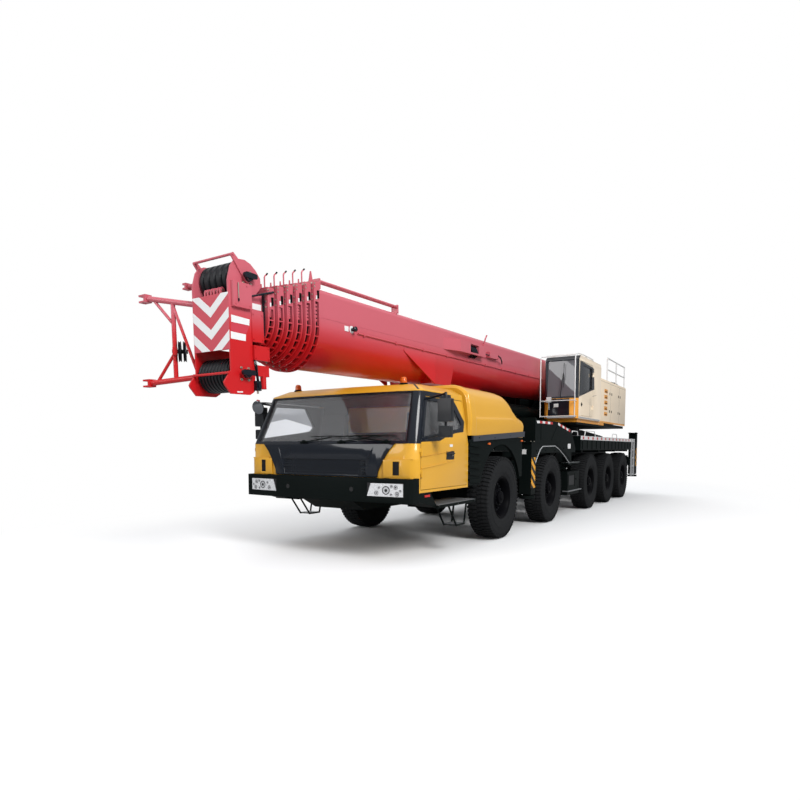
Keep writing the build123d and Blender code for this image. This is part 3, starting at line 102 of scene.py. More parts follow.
camera_data = bpy.data.cameras.new("camera")
camera_data.sensor_width = SENSOR_MM
camera_data.lens = SENSOR_MM * FOCAL_PIXELS / PICTURE_PIXELS
camera_data.shift_y = SHIFT_PIXELS / PICTURE_PIXELS
camera_data.clip_end = 200
camera = bpy.data.objects.new("camera", camera_data)
bpy.context.scene.collection.objects.link(camera)
yaw, pitch = math.radians(CAMERA_YAW), math.radians(CAMERA_PITCH)
look = Vector((math.cos(pitch) * math.cos(yaw), math.cos(pitch) * math.sin(yaw), math.sin(pitch)))
turn = look.to_track_quat("-Z", "Y").to_matrix().to_4x4()
camera.matrix_world = Matrix.Translation(at(*CAMERA_PLACE)) @ turn @ Matrix.Rotation(
    math.radians(CAMERA_ROLL), 4, "Z")
bpy.context.scene.camera = camera

# %% [markdown]
# A studio: a large pale floor, a bright sky that lights from all round, and big soft lamps for shape.
# A bare floor would show a grey horizon, so its material turns to plain white for the camera a few
# metres away from the machine. Near the machine it stays a real floor and keeps the shadow. The sky
# is white to the camera and through glass. To everything else it is bright overhead and darker low
# down, and the floor gives back less light, so tops shine and the black undersides stay black.

# %% Floor, sky and lamps
FLOOR_SIZE = 160
SKY_LOW, SKY_HIGH = 0.26, 1.05
FLOOR_SEEN, FLOOR_BOUNCE = 0.90, 0.42
SHADOW_REACH = (10.5, 3.6)


def studio_floor():
    mesh = bpy.data.meshes.new("floor")
    half = FLOOR_SIZE / 2
    mesh.from_pydata([(-half, -half, 0), (half, -half, 0), (half, half, 0), (-half, half, 0)], [], [(0, 1, 2, 3)])
    floor = bpy.data.objects.new("floor", mesh)
    bpy.context.scene.collection.objects.link(floor)
    material = bpy.data.materials.new("studio_floor")
    material.use_nodes = True
    tree = material.node_tree
    shader = tree.nodes["Principled BSDF"]
    albedo = tree.nodes.new("ShaderNodeMapRange")
    albedo.inputs["To Min"].default_value = FLOOR_BOUNCE
    albedo.inputs["To Max"].default_value = FLOOR_SEEN
    shader.inputs["Roughness"].default_value = 0.9
    shader.inputs["Specular IOR Level"].default_value = 0.05
    coords = tree.nodes.new("ShaderNodeTexCoord")
    oval = tree.nodes.new("ShaderNodeMapping")
    oval.inputs["Scale"].default_value = (1 / SHADOW_REACH[0], 1 / SHADOW_REACH[1], 0)
    reach = tree.nodes.new("ShaderNodeVectorMath")
    reach.operation = "LENGTH"
    fade = tree.nodes.new("ShaderNodeMapRange")
    fade.interpolation_type = "SMOOTHSTEP"
    fade.inputs["From Min"].default_value = 0.85
    fade.inputs["From Max"].default_value = 1.9
    path = tree.nodes.new("ShaderNodeLightPath")
    shown = tree.nodes.new("ShaderNodeMath")
    shown.operation = "MULTIPLY"
    white = tree.nodes.new("ShaderNodeEmission")
    white.inputs["Color"].default_value = (1, 1, 1, 1)
    blend = tree.nodes.new("ShaderNodeMixShader")
    link = tree.links.new
    link(coords.outputs["Object"], oval.inputs["Vector"])
    link(oval.outputs[0], reach.inputs[0])
    link(reach.outputs["Value"], fade.inputs["Value"])
    link(fade.outputs["Result"], shown.inputs[0])
    link(path.outputs["Is Camera Ray"], shown.inputs[1])
    link(path.outputs["Is Camera Ray"], albedo.inputs["Value"])
    link(albedo.outputs["Result"], shader.inputs["Base Color"])
    link(shown.outputs[0], blend.inputs["Fac"])
    link(shader.outputs[0], blend.inputs[1])
    link(white.outputs[0], blend.inputs[2])
    link(blend.outputs[0], tree.nodes["Material Output"].inputs["Surface"])
    mesh.materials.append(material)
    return floor


studio_floor()

world = bpy.data.worlds.new("sky")
bpy.context.scene.world = world
world.use_nodes = True
tree = world.node_tree
tree.nodes.clear()
output = tree.nodes.new("ShaderNodeOutputWorld")
mixer = tree.nodes.new("ShaderNodeMixShader")
lit = tree.nodes.new("ShaderNodeBackground")
seen = tree.nodes.new("ShaderNodeBackground")
path = tree.nodes.new("ShaderNodeLightPath")
either = tree.nodes.new("ShaderNodeMath")
either.operation = "MAXIMUM"
direction = tree.nodes.new("ShaderNodeTexCoord")
height = tree.nodes.new("ShaderNodeSeparateXYZ")
bright = tree.nodes.new("ShaderNodeMapRange")
bright.interpolation_type = "SMOOTHSTEP"
bright.inputs["To Min"].default_value = SKY_LOW
bright.inputs["To Max"].default_value = SKY_HIGH
lit.inputs["Color"].default_value = (0.95, 0.97, 1.0, 1)
seen.inputs["Strength"].default_value = 1.0
seen.inputs["Color"].default_value = (1, 1, 1, 1)
tree.links.new(path.outputs["Is Camera Ray"], either.inputs[0])
tree.links.new(path.outputs["Is Transmission Ray"], either.inputs[1])
tree.links.new(either.outputs[0], mixer.inputs["Fac"])
tree.links.new(direction.outputs["Generated"], height.inputs[0])
tree.links.new(height.outputs["Z"], bright.inputs["Value"])
tree.links.new(bright.outputs["Result"], lit.inputs["Strength"])
tree.links.new(lit.outputs[0], mixer.inputs[1])
tree.links.new(seen.outputs[0], mixer.inputs[2])
tree.links.new(mixer.outputs[0], output.inputs["Surface"])


def soft_lamp(name, place, target, size, watts):
    data = bpy.data.lights.new(name, "AREA")
    data.shape = "DISK"
    data.size = size
    data.energy = watts
    lamp = bpy.data.objects.new(name, data)
    lamp.location = place
    direction = Vector(target) - Vector(place)
    lamp.rotation_euler = direction.to_track_quat("-Z", "Y").to_euler()
    bpy.context.scene.collection.objects.link(lamp)


soft_lamp("key", (13, 17, 13), (1, 0, 2), 9, 3900)
soft_lamp("front_fill", (22, -8, 7), (3, 0, 2), 8, 900)
soft_lamp("back_fill", (-16, -14, 12), (-3, 0, 2), 10, 1200)

bpy.context.scene.view_settings.view_transform = "Standard"

# %% [markdown]
# Paint on a real machine is never one flat colour. It is a shade darker in places, a little dusty near
# the ground, and slightly wavy, as rolled steel is. One node group makes those three things for every
# painted piece, and each paint feeds it its own sizes.

# %% Node groups shared by several finishes
def new_group(name, inputs, outputs):
    group = bpy.data.node_groups.new(name, "ShaderNodeTree")
    for label, kind, value in inputs:
        socket = group.interface.new_socket(name=label, in_out="INPUT", socket_type=kind)
        socket.default_value = value
    for label, kind in outputs:
        group.interface.new_socket(name=label, in_out="OUTPUT", socket_type=kind)
    nodes = group.nodes
    return group, nodes.new("NodeGroupInput"), nodes.new("NodeGroupOutput")


def add_node(tree, kind, **settings):
    node = tree.nodes.new(kind)
    for key, value in settings.items():
        setattr(node, key, value)
    return node


def paint_group():
    """Tone, dust and ripple for a painted surface, from object coordinates."""
    group, entry, leave = new_group(
        "paint_surface",
        [("Color", "NodeSocketColor", (1, 1, 1, 1)), ("Shade", "NodeSocketColor", (0.5, 0.5, 0.5, 1)),
         ("Patch Scale", "NodeSocketFloat", 1.5), ("Dust", "NodeSocketFloat", 0.2),
         ("Roughness", "NodeSocketFloat", 0.3)],
        [("Color", "NodeSocketColor"), ("Roughness", "NodeSocketFloat"), ("Height", "NodeSocketFloat")])
    coords = add_node(group, "ShaderNodeTexCoord")
    patches = add_node(group, "ShaderNodeTexNoise")
    patches.inputs["Detail"].default_value = 4
    fine = add_node(group, "ShaderNodeTexNoise")
    fine.inputs["Scale"].default_value = 35
    fine.inputs["Detail"].default_value = 5
    ripple = add_node(group, "ShaderNodeTexNoise")
    ripple.inputs["Scale"].default_value = 6
    split_z = add_node(group, "ShaderNodeSeparateXYZ")
    low = add_node(group, "ShaderNodeMapRange")
    low.inputs["From Min"].default_value = 1.7
    low.inputs["From Max"].default_value = 0.2
    tone = add_node(group, "ShaderNodeMix", data_type="RGBA")
    spread = add_node(group, "ShaderNodeMapRange")
    spread.inputs["From Min"].default_value = 0.35
    spread.inputs["From Max"].default_value = 0.75
    spread.inputs["To Max"].default_value = 0.45
    dust_amount = add_node(group, "ShaderNodeMath", operation="MULTIPLY")
    dust_mask = add_node(group, "ShaderNodeMath", operation="MULTIPLY")
    dusty = add_node(group, "ShaderNodeMix", data_type="RGBA")
    dusty.inputs["B"].default_value = (0.32, 0.29, 0.25, 1)
    rough = add_node(group, "ShaderNodeMath", operation="MULTIPLY_ADD")
    rough.inputs[1].default_value = 0.5
    link = group.links.new
    for texture in (patches, fine, ripple):
        link(coords.outputs["Object"], texture.inputs["Vector"])
    link(entry.outputs["Patch Scale"], patches.inputs["Scale"])
    link(patches.outputs["Fac"], spread.inputs["Value"])
    link(spread.outputs["Result"], tone.inputs["Factor"])
    link(entry.outputs["Color"], tone.inputs["A"])
    link(entry.outputs["Shade"], tone.inputs["B"])
    link(coords.outputs["Object"], split_z.inputs[0])
    link(split_z.outputs["Z"], low.inputs["Value"])
    link(low.outputs["Result"], dust_amount.inputs[0])
    link(entry.outputs["Dust"], dust_amount.inputs[1])
    link(dust_amount.outputs[0], dust_mask.inputs[0])
    link(fine.outputs["Fac"], dust_mask.inputs[1])
    link(tone.outputs["Result"], dusty.inputs["A"])
    link(dust_mask.outputs[0], dusty.inputs["Factor"])
    link(dusty.outputs["Result"], leave.inputs["Color"])
    link(dust_mask.outputs[0], rough.inputs[0])
    link(entry.outputs["Roughness"], rough.inputs[2])
    link(rough.outputs[0], leave.inputs["Roughness"])
    link(ripple.outputs["Fac"], leave.inputs["Height"])
    return group


PAINT = paint_group()

# %% [markdown]
# Each paint is one Principled shader fed by that group. A clear coat on top gives the cab's yellow and
# the boom's red the hard shine of a new machine, and the black frame paint is duller.

# %% Paints
def painted(name, color, shade, roughness, coat=0.0, dust=0.2, patch=1.2, bump=0.02, shine=0.5):
    material = bpy.data.materials.new(name)
    material.use_nodes = True
    tree = material.node_tree
    shader = tree.nodes["Principled BSDF"]
    surface = add_node(tree, "ShaderNodeGroup", node_tree=PAINT)
    surface.inputs["Color"].default_value = (*color, 1)
    surface.inputs["Shade"].default_value = (*shade, 1)
    surface.inputs["Patch Scale"].default_value = patch
    surface.inputs["Dust"].default_value = dust
    surface.inputs["Roughness"].default_value = roughness
    bumps = add_node(tree, "ShaderNodeBump")
    bumps.inputs["Strength"].default_value = bump
    bumps.inputs["Distance"].default_value = 0.02
    tree.links.new(surface.outputs["Color"], shader.inputs["Base Color"])
    tree.links.new(surface.outputs["Roughness"], shader.inputs["Roughness"])
    tree.links.new(surface.outputs["Height"], bumps.inputs["Height"])
    tree.links.new(bumps.outputs["Normal"], shader.inputs["Normal"])
    shader.inputs["Coat Weight"].default_value = coat
    shader.inputs["Coat Roughness"].default_value = 0.06
    shader.inputs["Specular IOR Level"].default_value = shine
    return material


YELLOW = painted("yellow_paint", (0.69, 0.355, 0.024), (0.62, 0.305, 0.018), 0.34, coat=0.4, dust=0.06, shine=0.3)
CREAM = painted("cream_paint", (0.93, 0.78, 0.59), (0.90, 0.74, 0.54), 0.36, coat=0.3, dust=0.03, shine=0.3)
RED = painted("red_paint", (0.54, 0.011, 0.014), (0.47, 0.009, 0.011), 0.36, coat=0.22, dust=0.0, shine=0.25)
BLACK = painted("black_frame", (0.0035, 0.0060, 0.0058), (0.002, 0.0038, 0.0036), 0.45, dust=0.02, shine=0.035)
BLACK_GLOSS = painted("black_gloss", (0.009, 0.012, 0.018), (0.006, 0.008, 0.013), 0.18, coat=0.5, dust=0.0,
                      shine=0.08)
BLACK_RIM = painted("black_rim", (0.003, 0.003, 0.004), (0.002, 0.002, 0.002), 0.45, dust=0.0, shine=0.03,
                    patch=6)
ORANGE = painted("orange_paint", (0.78, 0.33, 0.03), (0.72, 0.28, 0.02), 0.36, coat=0.3, dust=0.0, shine=0.3)
WHITE_RAIL = painted("white_rail", (0.75, 0.75, 0.74), (0.62, 0.62, 0.62), 0.35, coat=0.2, dust=0.0)
SILVER = painted("silver_trim", (0.42, 0.43, 0.44), (0.33, 0.34, 0.35), 0.35, dust=0.1)
GREY_PLASTIC = painted("grey_plastic", (0.012, 0.013, 0.015), (0.008, 0.009, 0.010), 0.5, dust=0.05, bump=0.08,
                       patch=8, shine=0.3)


def painted_sheen_above(material, color, axis, start, end, share):
    """Paint a lighter colour on a finish above a level along an axis: a painted sheen, the sky's reflection on a boom's
    upper faces.
    """
    tree = material.node_tree
    shader = tree.nodes["Principled BSDF"]
    paint = shader.inputs["Base Color"].links[0].from_socket
    coords = add_node(tree, "ShaderNodeTexCoord")
    along = add_node(tree, "ShaderNodeVectorMath", operation="DOT_PRODUCT")
    along.inputs[1].default_value = axis
    amount = add_node(tree, "ShaderNodeMapRange", interpolation_type="SMOOTHSTEP")
    amount.inputs["From Min"].default_value = start
    amount.inputs["From Max"].default_value = end
    amount.inputs["To Max"].default_value = share
    fade = add_node(tree, "ShaderNodeMix", data_type="RGBA")
    fade.inputs["B"].default_value = (*color, 1)
    tree.links.new(coords.outputs["Object"], along.inputs[0])
    tree.links.new(along.outputs["Value"], amount.inputs["Value"])
    tree.links.new(amount.outputs["Result"], fade.inputs["Factor"])
    tree.links.new(paint, fade.inputs["A"])
    tree.links.new(fade.outputs["Result"], shader.inputs["Base Color"])


BOOM_UP = (math.sin(BOOM_TILT), 0.0, math.cos(BOOM_TILT))
BOOM_LEVEL = on_boom(0, 0, 0).dot(Vector(BOOM_UP))
# The boom's red is painted a lighter pink on its upper faces: a painted sheen standing for the sky's reflection.
painted_sheen_above(RED, (0.53, 0.135, 0.175), BOOM_UP, BOOM_LEVEL - 0.10, BOOM_LEVEL + 0.32, 0.8)


def plain(name, color, roughness, metallic=0.0, bump_scale=60, bump=0.03, shine=0.5):
    """A single finish with a fine grain."""
    material = bpy.data.materials.new(name)
    material.use_nodes = True
    tree = material.node_tree
    shader = tree.nodes["Principled BSDF"]
    shader.inputs["Metallic"].default_value = metallic
    shader.inputs["Specular IOR Level"].default_value = shine
    coords = add_node(tree, "ShaderNodeTexCoord")
    grain = add_node(tree, "ShaderNodeTexNoise")
    grain.inputs["Scale"].default_value = bump_scale
    tone = add_node(tree, "ShaderNodeMix", data_type="RGBA")
    tone.inputs["A"].default_value = (*color, 1)
    tone.inputs["B"].default_value = tuple(c * 0.75 for c in color) + (1,)
    rough = add_node(tree, "ShaderNodeMapRange")
    rough.inputs["To Min"].default_value = roughness - 0.05
    rough.inputs["To Max"].default_value = roughness + 0.08
    bumps = add_node(tree, "ShaderNodeBump")
    bumps.inputs["Strength"].default_value = bump
    bumps.inputs["Distance"].default_value = 0.005
    tree.links.new(coords.outputs["Object"], grain.inputs["Vector"])
    tree.links.new(grain.outputs["Fac"], tone.inputs["Factor"])
    tree.links.new(tone.outputs["Result"], shader.inputs["Base Color"])
    tree.links.new(grain.outputs["Fac"], rough.inputs["Value"])
    tree.links.new(rough.outputs["Result"], shader.inputs["Roughness"])
    tree.links.new(grain.outputs["Fac"], bumps.inputs["Height"])
    tree.links.new(bumps.outputs["Normal"], shader.inputs["Normal"])
    return material


STEEL = plain("steel_rope", (0.009, 0.010, 0.013), 0.42, metallic=0.15, bump_scale=90, shine=0.25)
CHROME = plain("bright_steel", (0.72, 0.73, 0.75), 0.14, metallic=1.0, bump=0.0)
RUBBER = plain("tyre_rubber", (0.0190, 0.0198, 0.0210), 0.75, bump_scale=40, bump=0.15, shine=0.08)
AMBER = plain("amber_lens", (0.72, 0.125, 0.008), 0.15, bump=0.0)
RED_LENS = plain("red_lens", (0.6, 0.01, 0.01), 0.15, bump=0.0)
WHITE_TAPE = plain("white_tape", (0.85, 0.85, 0.85), 0.3, bump_scale=200, bump=0.05)
RED_TAPE = plain("red_tape", (0.55, 0.012, 0.012), 0.3, bump_scale=200, bump=0.05)
HAZARD_YELLOW = plain("hazard_yellow", (0.85, 0.38, 0.01), 0.35, bump_scale=200, bump=0.05)
ROPE = plain("wire_rope", (0.05, 0.052, 0.055), 0.45, metallic=0.7, bump_scale=300, bump=0.3)
HOSE = plain("black_hose", (0.008, 0.008, 0.009), 0.45, bump_scale=150, bump=0.1, shine=0.35)

# %% [markdown]
# The driving cab's glass is nearly clear and the operator's is dark. Both are thin transparent sheets
# that mirror the sky, rather than real refracting blocks, which would go black.

# %% Glass
def tinted_glass(name, color, transmission, roughness=0.02):
    material = bpy.data.materials.new(name)
    material.use_nodes = True
    shader = material.node_tree.nodes["Principled BSDF"]
    shader.inputs["Base Color"].default_value = (*color, 1)
    shader.inputs["Transmission Weight"].default_value = transmission
    shader.inputs["Roughness"].default_value = roughness
    shader.inputs["IOR"].default_value = 1.45
    shader.inputs["Coat Weight"].default_value = 0.1
    return material


# The operator's glass is mostly a mid-grey diffuse sheet, with a fifth of the light passing through: its grey is a
# painted reflection of the bright sky.
DARK_GLASS = tinted_glass("dark_glass", (0.16, 0.165, 0.18), 0.20)
LAMP_GLASS = tinted_glass("lamp_glass", (0.9, 0.92, 0.95), 0.9)

# %% Give every CAD node its finish
FINISHES = {
    "black_frame": BLACK, "yellow_paint": YELLOW, "cream_paint": CREAM, "red_paint": RED,
    "tyre_rubber": RUBBER, "dark_glass": DARK_GLASS, "lamp_glass": LAMP_GLASS, "grey_plastic": GREY_PLASTIC,
    "steel_rope": STEEL, "bright_steel": CHROME, "white_rail": WHITE_RAIL,
}
for part in frame["record"]["subparts"]:
    obj = NODES[part["node"]]
    for n in range(len(obj.material_slots)):
        obj.material_slots[n].material = FINISHES[part["material_slot"]]
print("finishes on", len(NODES), "nodes")

# %% [markdown]
# The pieces below are mesh code. A bmesh is a mesh in the making: faces are added to it with small
# helpers, and at the end it becomes one object whose place is in its vertices. Four helpers cover most
# of a machine: a flat outline pushed out to a thickness, a box, a round rod that follows corners, and a
# profile spun round an axle. A short bevel rounds the edges, because a real edge always catches light.

# %% Mesh helpers
def prism(bm, outline, push, mat=0):
    """A flat outline pushed out along a vector."""
    near = [bm.verts.new(p) for p in outline]
    far = [bm.verts.new(Vector(p) + Vector(push)) for p in outline]
    faces = [bm.faces.new(near), bm.faces.new(list(reversed(far)))]
    for n in range(len(near)):
        m = (n + 1) % len(near)
        faces.append(bm.faces.new((near[m], near[n], far[n], far[m])))
    for face in faces:
        face.material_index = mat
    return faces


def box(bm, low, high, mat=0):
    (x0, y0, z0), (x1, y1, z1) = low, high
    return prism(bm, [(x0, y0, z0), (x1, y0, z0), (x1, y1, z0), (x0, y1, z0)], (0, 0, z1 - z0), mat)


def ring_of(bm, centre, tangent, radius, sides, up=None):
    """A ring of corners square to a direction."""
    side = tangent.cross(up if up else Vector((0.123, 0.345, 0.93))).normalized()
    other = tangent.cross(side).normalized()
    corners = []
    for n in range(sides):
        a = math.tau * n / sides
        corners.append(bm.verts.new(centre + side * radius * math.cos(a) + other * radius * math.sin(a)))
    return corners


def rod(bm, path, radius, sides=10, mat=0):
    """A round rod along corners; its ends are closed."""
    path = [Vector(p) for p in path]
    rings = []
    for n, point in enumerate(path):
        before = (point - path[n - 1]).normalized() if n else (path[1] - point).normalized()
        after = (path[n + 1] - point).normalized() if n + 1 < len(path) else before
        tangent = (before + after).normalized()
        stretch = 1 / max(0.5, before.dot(tangent))
        rings.append(ring_of(bm, point, tangent, radius * (1 + (stretch - 1) * 0.5), sides))
    faces = [bm.faces.new(rings[0]), bm.faces.new(list(reversed(rings[-1])))]
    for a, b in zip(rings, rings[1:]):
        for n in range(sides):
            m = (n + 1) % sides
            faces.append(bm.faces.new((a[m], a[n], b[n], b[m])))
    for face in faces:
        face.material_index = mat
    return faces


def lathe(bm, centre, axis, profile, sides=48, mat=0):
    """A profile of (radius, place along the axle) spun round the axle; open ends at radius 0 close."""
    centre, axis = Vector(centre), Vector(axis).normalized()
    side = axis.orthogonal().normalized()
    other = axis.cross(side)
    rings = []
    for radius, s in profile:
        if radius < 1e-6:
            rings.append([bm.verts.new(centre + axis * s)])
            continue
        rings.append([bm.verts.new(centre + axis * s + (side * math.cos(math.tau * n / sides)
                                                        + other * math.sin(math.tau * n / sides)) * radius)
                      for n in range(sides)])
    faces = []
    for a, b in zip(rings, rings[1:]):
        for n in range(sides):
            m = (n + 1) % sides
            if len(a) == 1 and len(b) == 1:
                continue
            if len(a) == 1:
                faces.append(bm.faces.new((a[0], b[n], b[m])))
            elif len(b) == 1:
                faces.append(bm.faces.new((a[n], b[0], a[m])))
            else:
                faces.append(bm.faces.new((a[n], b[n], b[m], a[m])))
    for face in faces:
        face.material_index = mat
    return faces


def bolt(bm, place, axis, radius=0.018, tall=0.012, mat=0):
    """A hexagon bolt head on its washer."""
    lathe(bm, place, axis, [(0, 0), (radius * 1.35, 0), (radius * 1.35, tall * 0.3), (0, tall * 0.3)], 10, mat)
    lathe(bm, place, axis, [(0, tall * 0.2), (radius, tall * 0.2), (radius, tall), (0, tall)], 6, mat)


def linked(name, mesh):
    piece = bpy.data.objects.new(name, mesh)
    bpy.context.scene.collection.objects.link(piece)
    return piece


def finish(name, bm, materials, body, slot, bevel=0.0, smooth=32, replaces=()):
    """Close a bmesh into a piece that rides on a body."""
    bmesh.ops.recalc_face_normals(bm, faces=bm.faces)
    mesh = bpy.data.meshes.new(name)
    bm.to_mesh(mesh)
    bm.free()
    for material in materials:
        mesh.materials.append(material)
    mesh.shade_smooth()
    mesh.set_sharp_from_angle(angle=math.radians(smooth))
    piece = linked(name, mesh)
    if bevel:
        rounding = piece.modifiers.new("rounding", "BEVEL")
        rounding.width = bevel
        rounding.segments = 2
        rounding.limit_method = "ANGLE"
        rounding.angle_limit = math.radians(38)
        rounding.harden_normals = False
    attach(piece, body)
    if replaces:
        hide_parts(*replaces)
    return piece


def side_box(bm, side, x0, x1, y0, y1, z0, z1, mat=0):
    """A box on one side of the machine, its y as on the left, its ends in either order."""
    (x0, x1), (y0, y1) = sorted((x0, x1)), sorted((side * y0, side * y1))
    box(bm, at(x0, y0, z0), at(x1, y1, z1), mat)


def split_at(bm, place, normal):
    """Cuts the faces along a plane, so that a finish can end there."""
    bmesh.ops.bisect_plane(bm, geom=bm.verts[:] + bm.edges[:] + bm.faces[:], plane_co=place,
                           plane_no=normal)


# %% [markdown]
# Many small things repeat: tread lugs and wheel nuts round an axle, bolts and rungs and reflective
# squares in a row. Geometry Nodes make those from one seed shape. Both trees lay out points, put the
# seed on each, make the copies real and give them their material. What they make becomes a plain mesh.

# %% Geometry Nodes: round an axle, and in a row
def repeat_tree(name, inputs):
    tree = bpy.data.node_groups.new(name, "GeometryNodeTree")
    tree.is_modifier = True
    tree.interface.new_socket(name="Geometry", in_out="INPUT", socket_type="NodeSocketGeometry")
    for label, kind, value in inputs:
        socket = tree.interface.new_socket(name=label, in_out="INPUT", socket_type=kind)
        if value is not None:
            socket.default_value = value
    tree.interface.new_socket(name="Geometry", in_out="OUTPUT", socket_type="NodeSocketGeometry")
    return tree, tree.nodes.new("NodeGroupInput"), tree.nodes.new("NodeGroupOutput")


def close_tree(tree, entry, leave, instances):
    real = add_node(tree, "GeometryNodeRealizeInstances")
    paint = add_node(tree, "GeometryNodeSetMaterial")
    tree.links.new(instances, real.inputs[0])
    tree.links.new(real.outputs[0], paint.inputs["Geometry"])
    tree.links.new(entry.outputs["Material"], paint.inputs["Material"])
    tree.links.new(paint.outputs["Geometry"], leave.inputs[0])


def around_tree():
    """Copies of the seed turned about the Y axis."""
    tree, entry, leave = repeat_tree("around_an_axle", [
        ("Count", "NodeSocketInt", 12), ("First Angle", "NodeSocketFloat", 0.0),
        ("Material", "NodeSocketMaterial", None)])
    points = add_node(tree, "GeometryNodePoints")
    index = add_node(tree, "GeometryNodeInputIndex")
    step = add_node(tree, "ShaderNodeMath", operation="DIVIDE")
    step.inputs[0].default_value = math.tau
    angle = add_node(tree, "ShaderNodeMath", operation="MULTIPLY_ADD")
    turn = add_node(tree, "ShaderNodeCombineXYZ")
    place = add_node(tree, "GeometryNodeInstanceOnPoints")
    link = tree.links.new
    link(entry.outputs["Count"], points.inputs["Count"])
    link(entry.outputs["Count"], step.inputs[1])
    link(index.outputs[0], angle.inputs[0])
    link(step.outputs[0], angle.inputs[1])
    link(entry.outputs["First Angle"], angle.inputs[2])
    link(angle.outputs[0], turn.inputs["Y"])
    link(points.outputs[0], place.inputs["Points"])
    link(entry.outputs["Geometry"], place.inputs["Instance"])
    link(turn.outputs[0], place.inputs["Rotation"])
    close_tree(tree, entry, leave, place.outputs[0])
    return tree


def row_tree():
    """Copies of the seed in a straight row."""
    tree, entry, leave = repeat_tree("in_a_row", [
        ("Count", "NodeSocketInt", 5), ("Step", "NodeSocketVector", (0.1, 0, 0)),
        ("Material", "NodeSocketMaterial", None)])
    points = add_node(tree, "GeometryNodePoints")
    index = add_node(tree, "GeometryNodeInputIndex")
    offset = add_node(tree, "ShaderNodeVectorMath", operation="SCALE")
    place = add_node(tree, "GeometryNodeInstanceOnPoints")
    link = tree.links.new
    link(entry.outputs["Count"], points.inputs["Count"])
    link(entry.outputs["Step"], offset.inputs[0])
    link(index.outputs[0], offset.inputs["Scale"])
    link(offset.outputs[0], points.inputs["Position"])
    link(points.outputs[0], place.inputs["Points"])
    link(entry.outputs["Geometry"], place.inputs["Instance"])
    close_tree(tree, entry, leave, place.outputs[0])
    return tree


AROUND = around_tree()
ROW = row_tree()


def repeated(seed, tree, material, **values):
    """What a tree makes of a seed bmesh, as a plain mesh."""
    bmesh.ops.recalc_face_normals(seed, faces=seed.faces)
    mesh = bpy.data.meshes.new("seed")
    seed.to_mesh(mesh)
    seed.free()
    holder = linked("seed", mesh)
    modifier = holder.modifiers.new("repeat", "NODES")
    modifier.node_group = tree
    wanted = {key.replace("_", " ").title(): value for key, value in values.items()}
    wanted["Material"] = material
    for socket in tree.interface.items_tree:
        if socket.item_type == "SOCKET" and socket.in_out == "INPUT" and socket.name in wanted:
            modifier[socket.identifier] = wanted[socket.name]
    bpy.context.view_layer.update()
    result = bpy.data.meshes.new_from_object(holder.evaluated_get(bpy.context.evaluated_depsgraph_get()))
    bpy.data.objects.remove(holder)
    return result


def join(bm, mesh, mat=0):
    """Add a mesh to a bmesh, all of it in one of the piece's materials."""
    count = len(bm.faces)
    bm.from_mesh(mesh)
    bm.faces.ensure_lookup_table()
    for face in bm.faces[count:]:
        face.material_index = mat

# %% [markdown]
# The tyres are what carries the eye along the machine. A crane tyre is wide and tall, with a row of deep
# slanted blocks on each shoulder and two rows of smaller blocks in the middle. The body of the tyre is a
# spun profile, and one block of each row is copied round the axle. The rim is a deep black dish with a
# ring of nuts and a hub that stands out in the middle, all spun or copied in the same way.

# %% One wheel, made at the origin with its outer side to +Y
TYRE_PROFILE = (
    (0.330, -0.140), (0.345, -0.152), (0.375, -0.160), (0.390, -0.168), (0.430, -0.180), (0.480, -0.185),
    (0.545, -0.184), (0.600, -0.179), (0.632, -0.170), (0.652, -0.155), (0.662, -0.120), (0.666, -0.060),
    (0.667, 0.0),
)
RIM_PROFILE = (
    (0.332, -0.150), (0.346, -0.158), (0.346, -0.150), (0.318, -0.130), (0.306, 0.095), (0.318, 0.125),
    (0.346, 0.150), (0.352, 0.160), (0.338, 0.163), (0.318, 0.150), (0.300, 0.118), (0.285, 0.080),
    (0.268, 0.020), (0.248, 0.004), (0.205, 0.010), (0.182, 0.022), (0.170, 0.026), (0.150, 0.026),
)
HUB_PROFILE = (
    (0.150, 0.020), (0.148, 0.075), (0.138, 0.088), (0.112, 0.094), (0.108, 0.130), (0.098, 0.140),
    (0.055, 0.146), (0.045, 0.158), (0.0, 0.160),
)
BLOCKS = 62
NUTS = 20


def block_seed(y0, y1, half, r0, r1, lean):
    """One tread block over the tyre's crown: a slanted bar that stands up from the tread's floor."""
    seed = bmesh.new()
    corners = []
    for y, shift in ((y0, 0), (y1, lean)):
        for side in (-1, 1):
            corners.append((y, shift + side * half))
    (a, b, c, d) = corners
    drop0 = max(0.0, abs(y0) - 0.12) * 0.30
    drop1 = max(0.0, abs(y1) - 0.12) * 0.30
    rows = []
    for radius, squeeze in ((r0, 1.0), (r1, 0.86)):
        row = []
        for (y, t), drop in ((a, drop0), (b, drop0), (d, drop1), (c, drop1)):
            middle_t = 0 if (y, t) in (a, b) else lean
            row.append(seed.verts.new(((middle_t + (t - middle_t) * squeeze), y, radius - drop)))
        rows.append(row)
    low, high = rows
    seed.faces.new(high)
    seed.faces.new(list(reversed(low)))
    for n in range(4):
        m = (n + 1) % 4
        seed.faces.new((low[n], low[m], high[m], high[n]))
    return seed


def shoulder_seed(side):
    """A shoulder block with its step down the tyre's side."""
    seed = block_seed(side * 0.082, side * 0.172, 0.023, 0.640, 0.6845, 0.010)
    steps = [(side * 0.172, 0.672), (side * 0.1800, 0.652), (side * 0.1830, 0.626), (side * 0.150, 0.626),
             (side * 0.150, 0.672)]
    prism(seed, [(0.010 - 0.018, y, r) for y, r in steps], (0.036, 0, 0))
    return seed


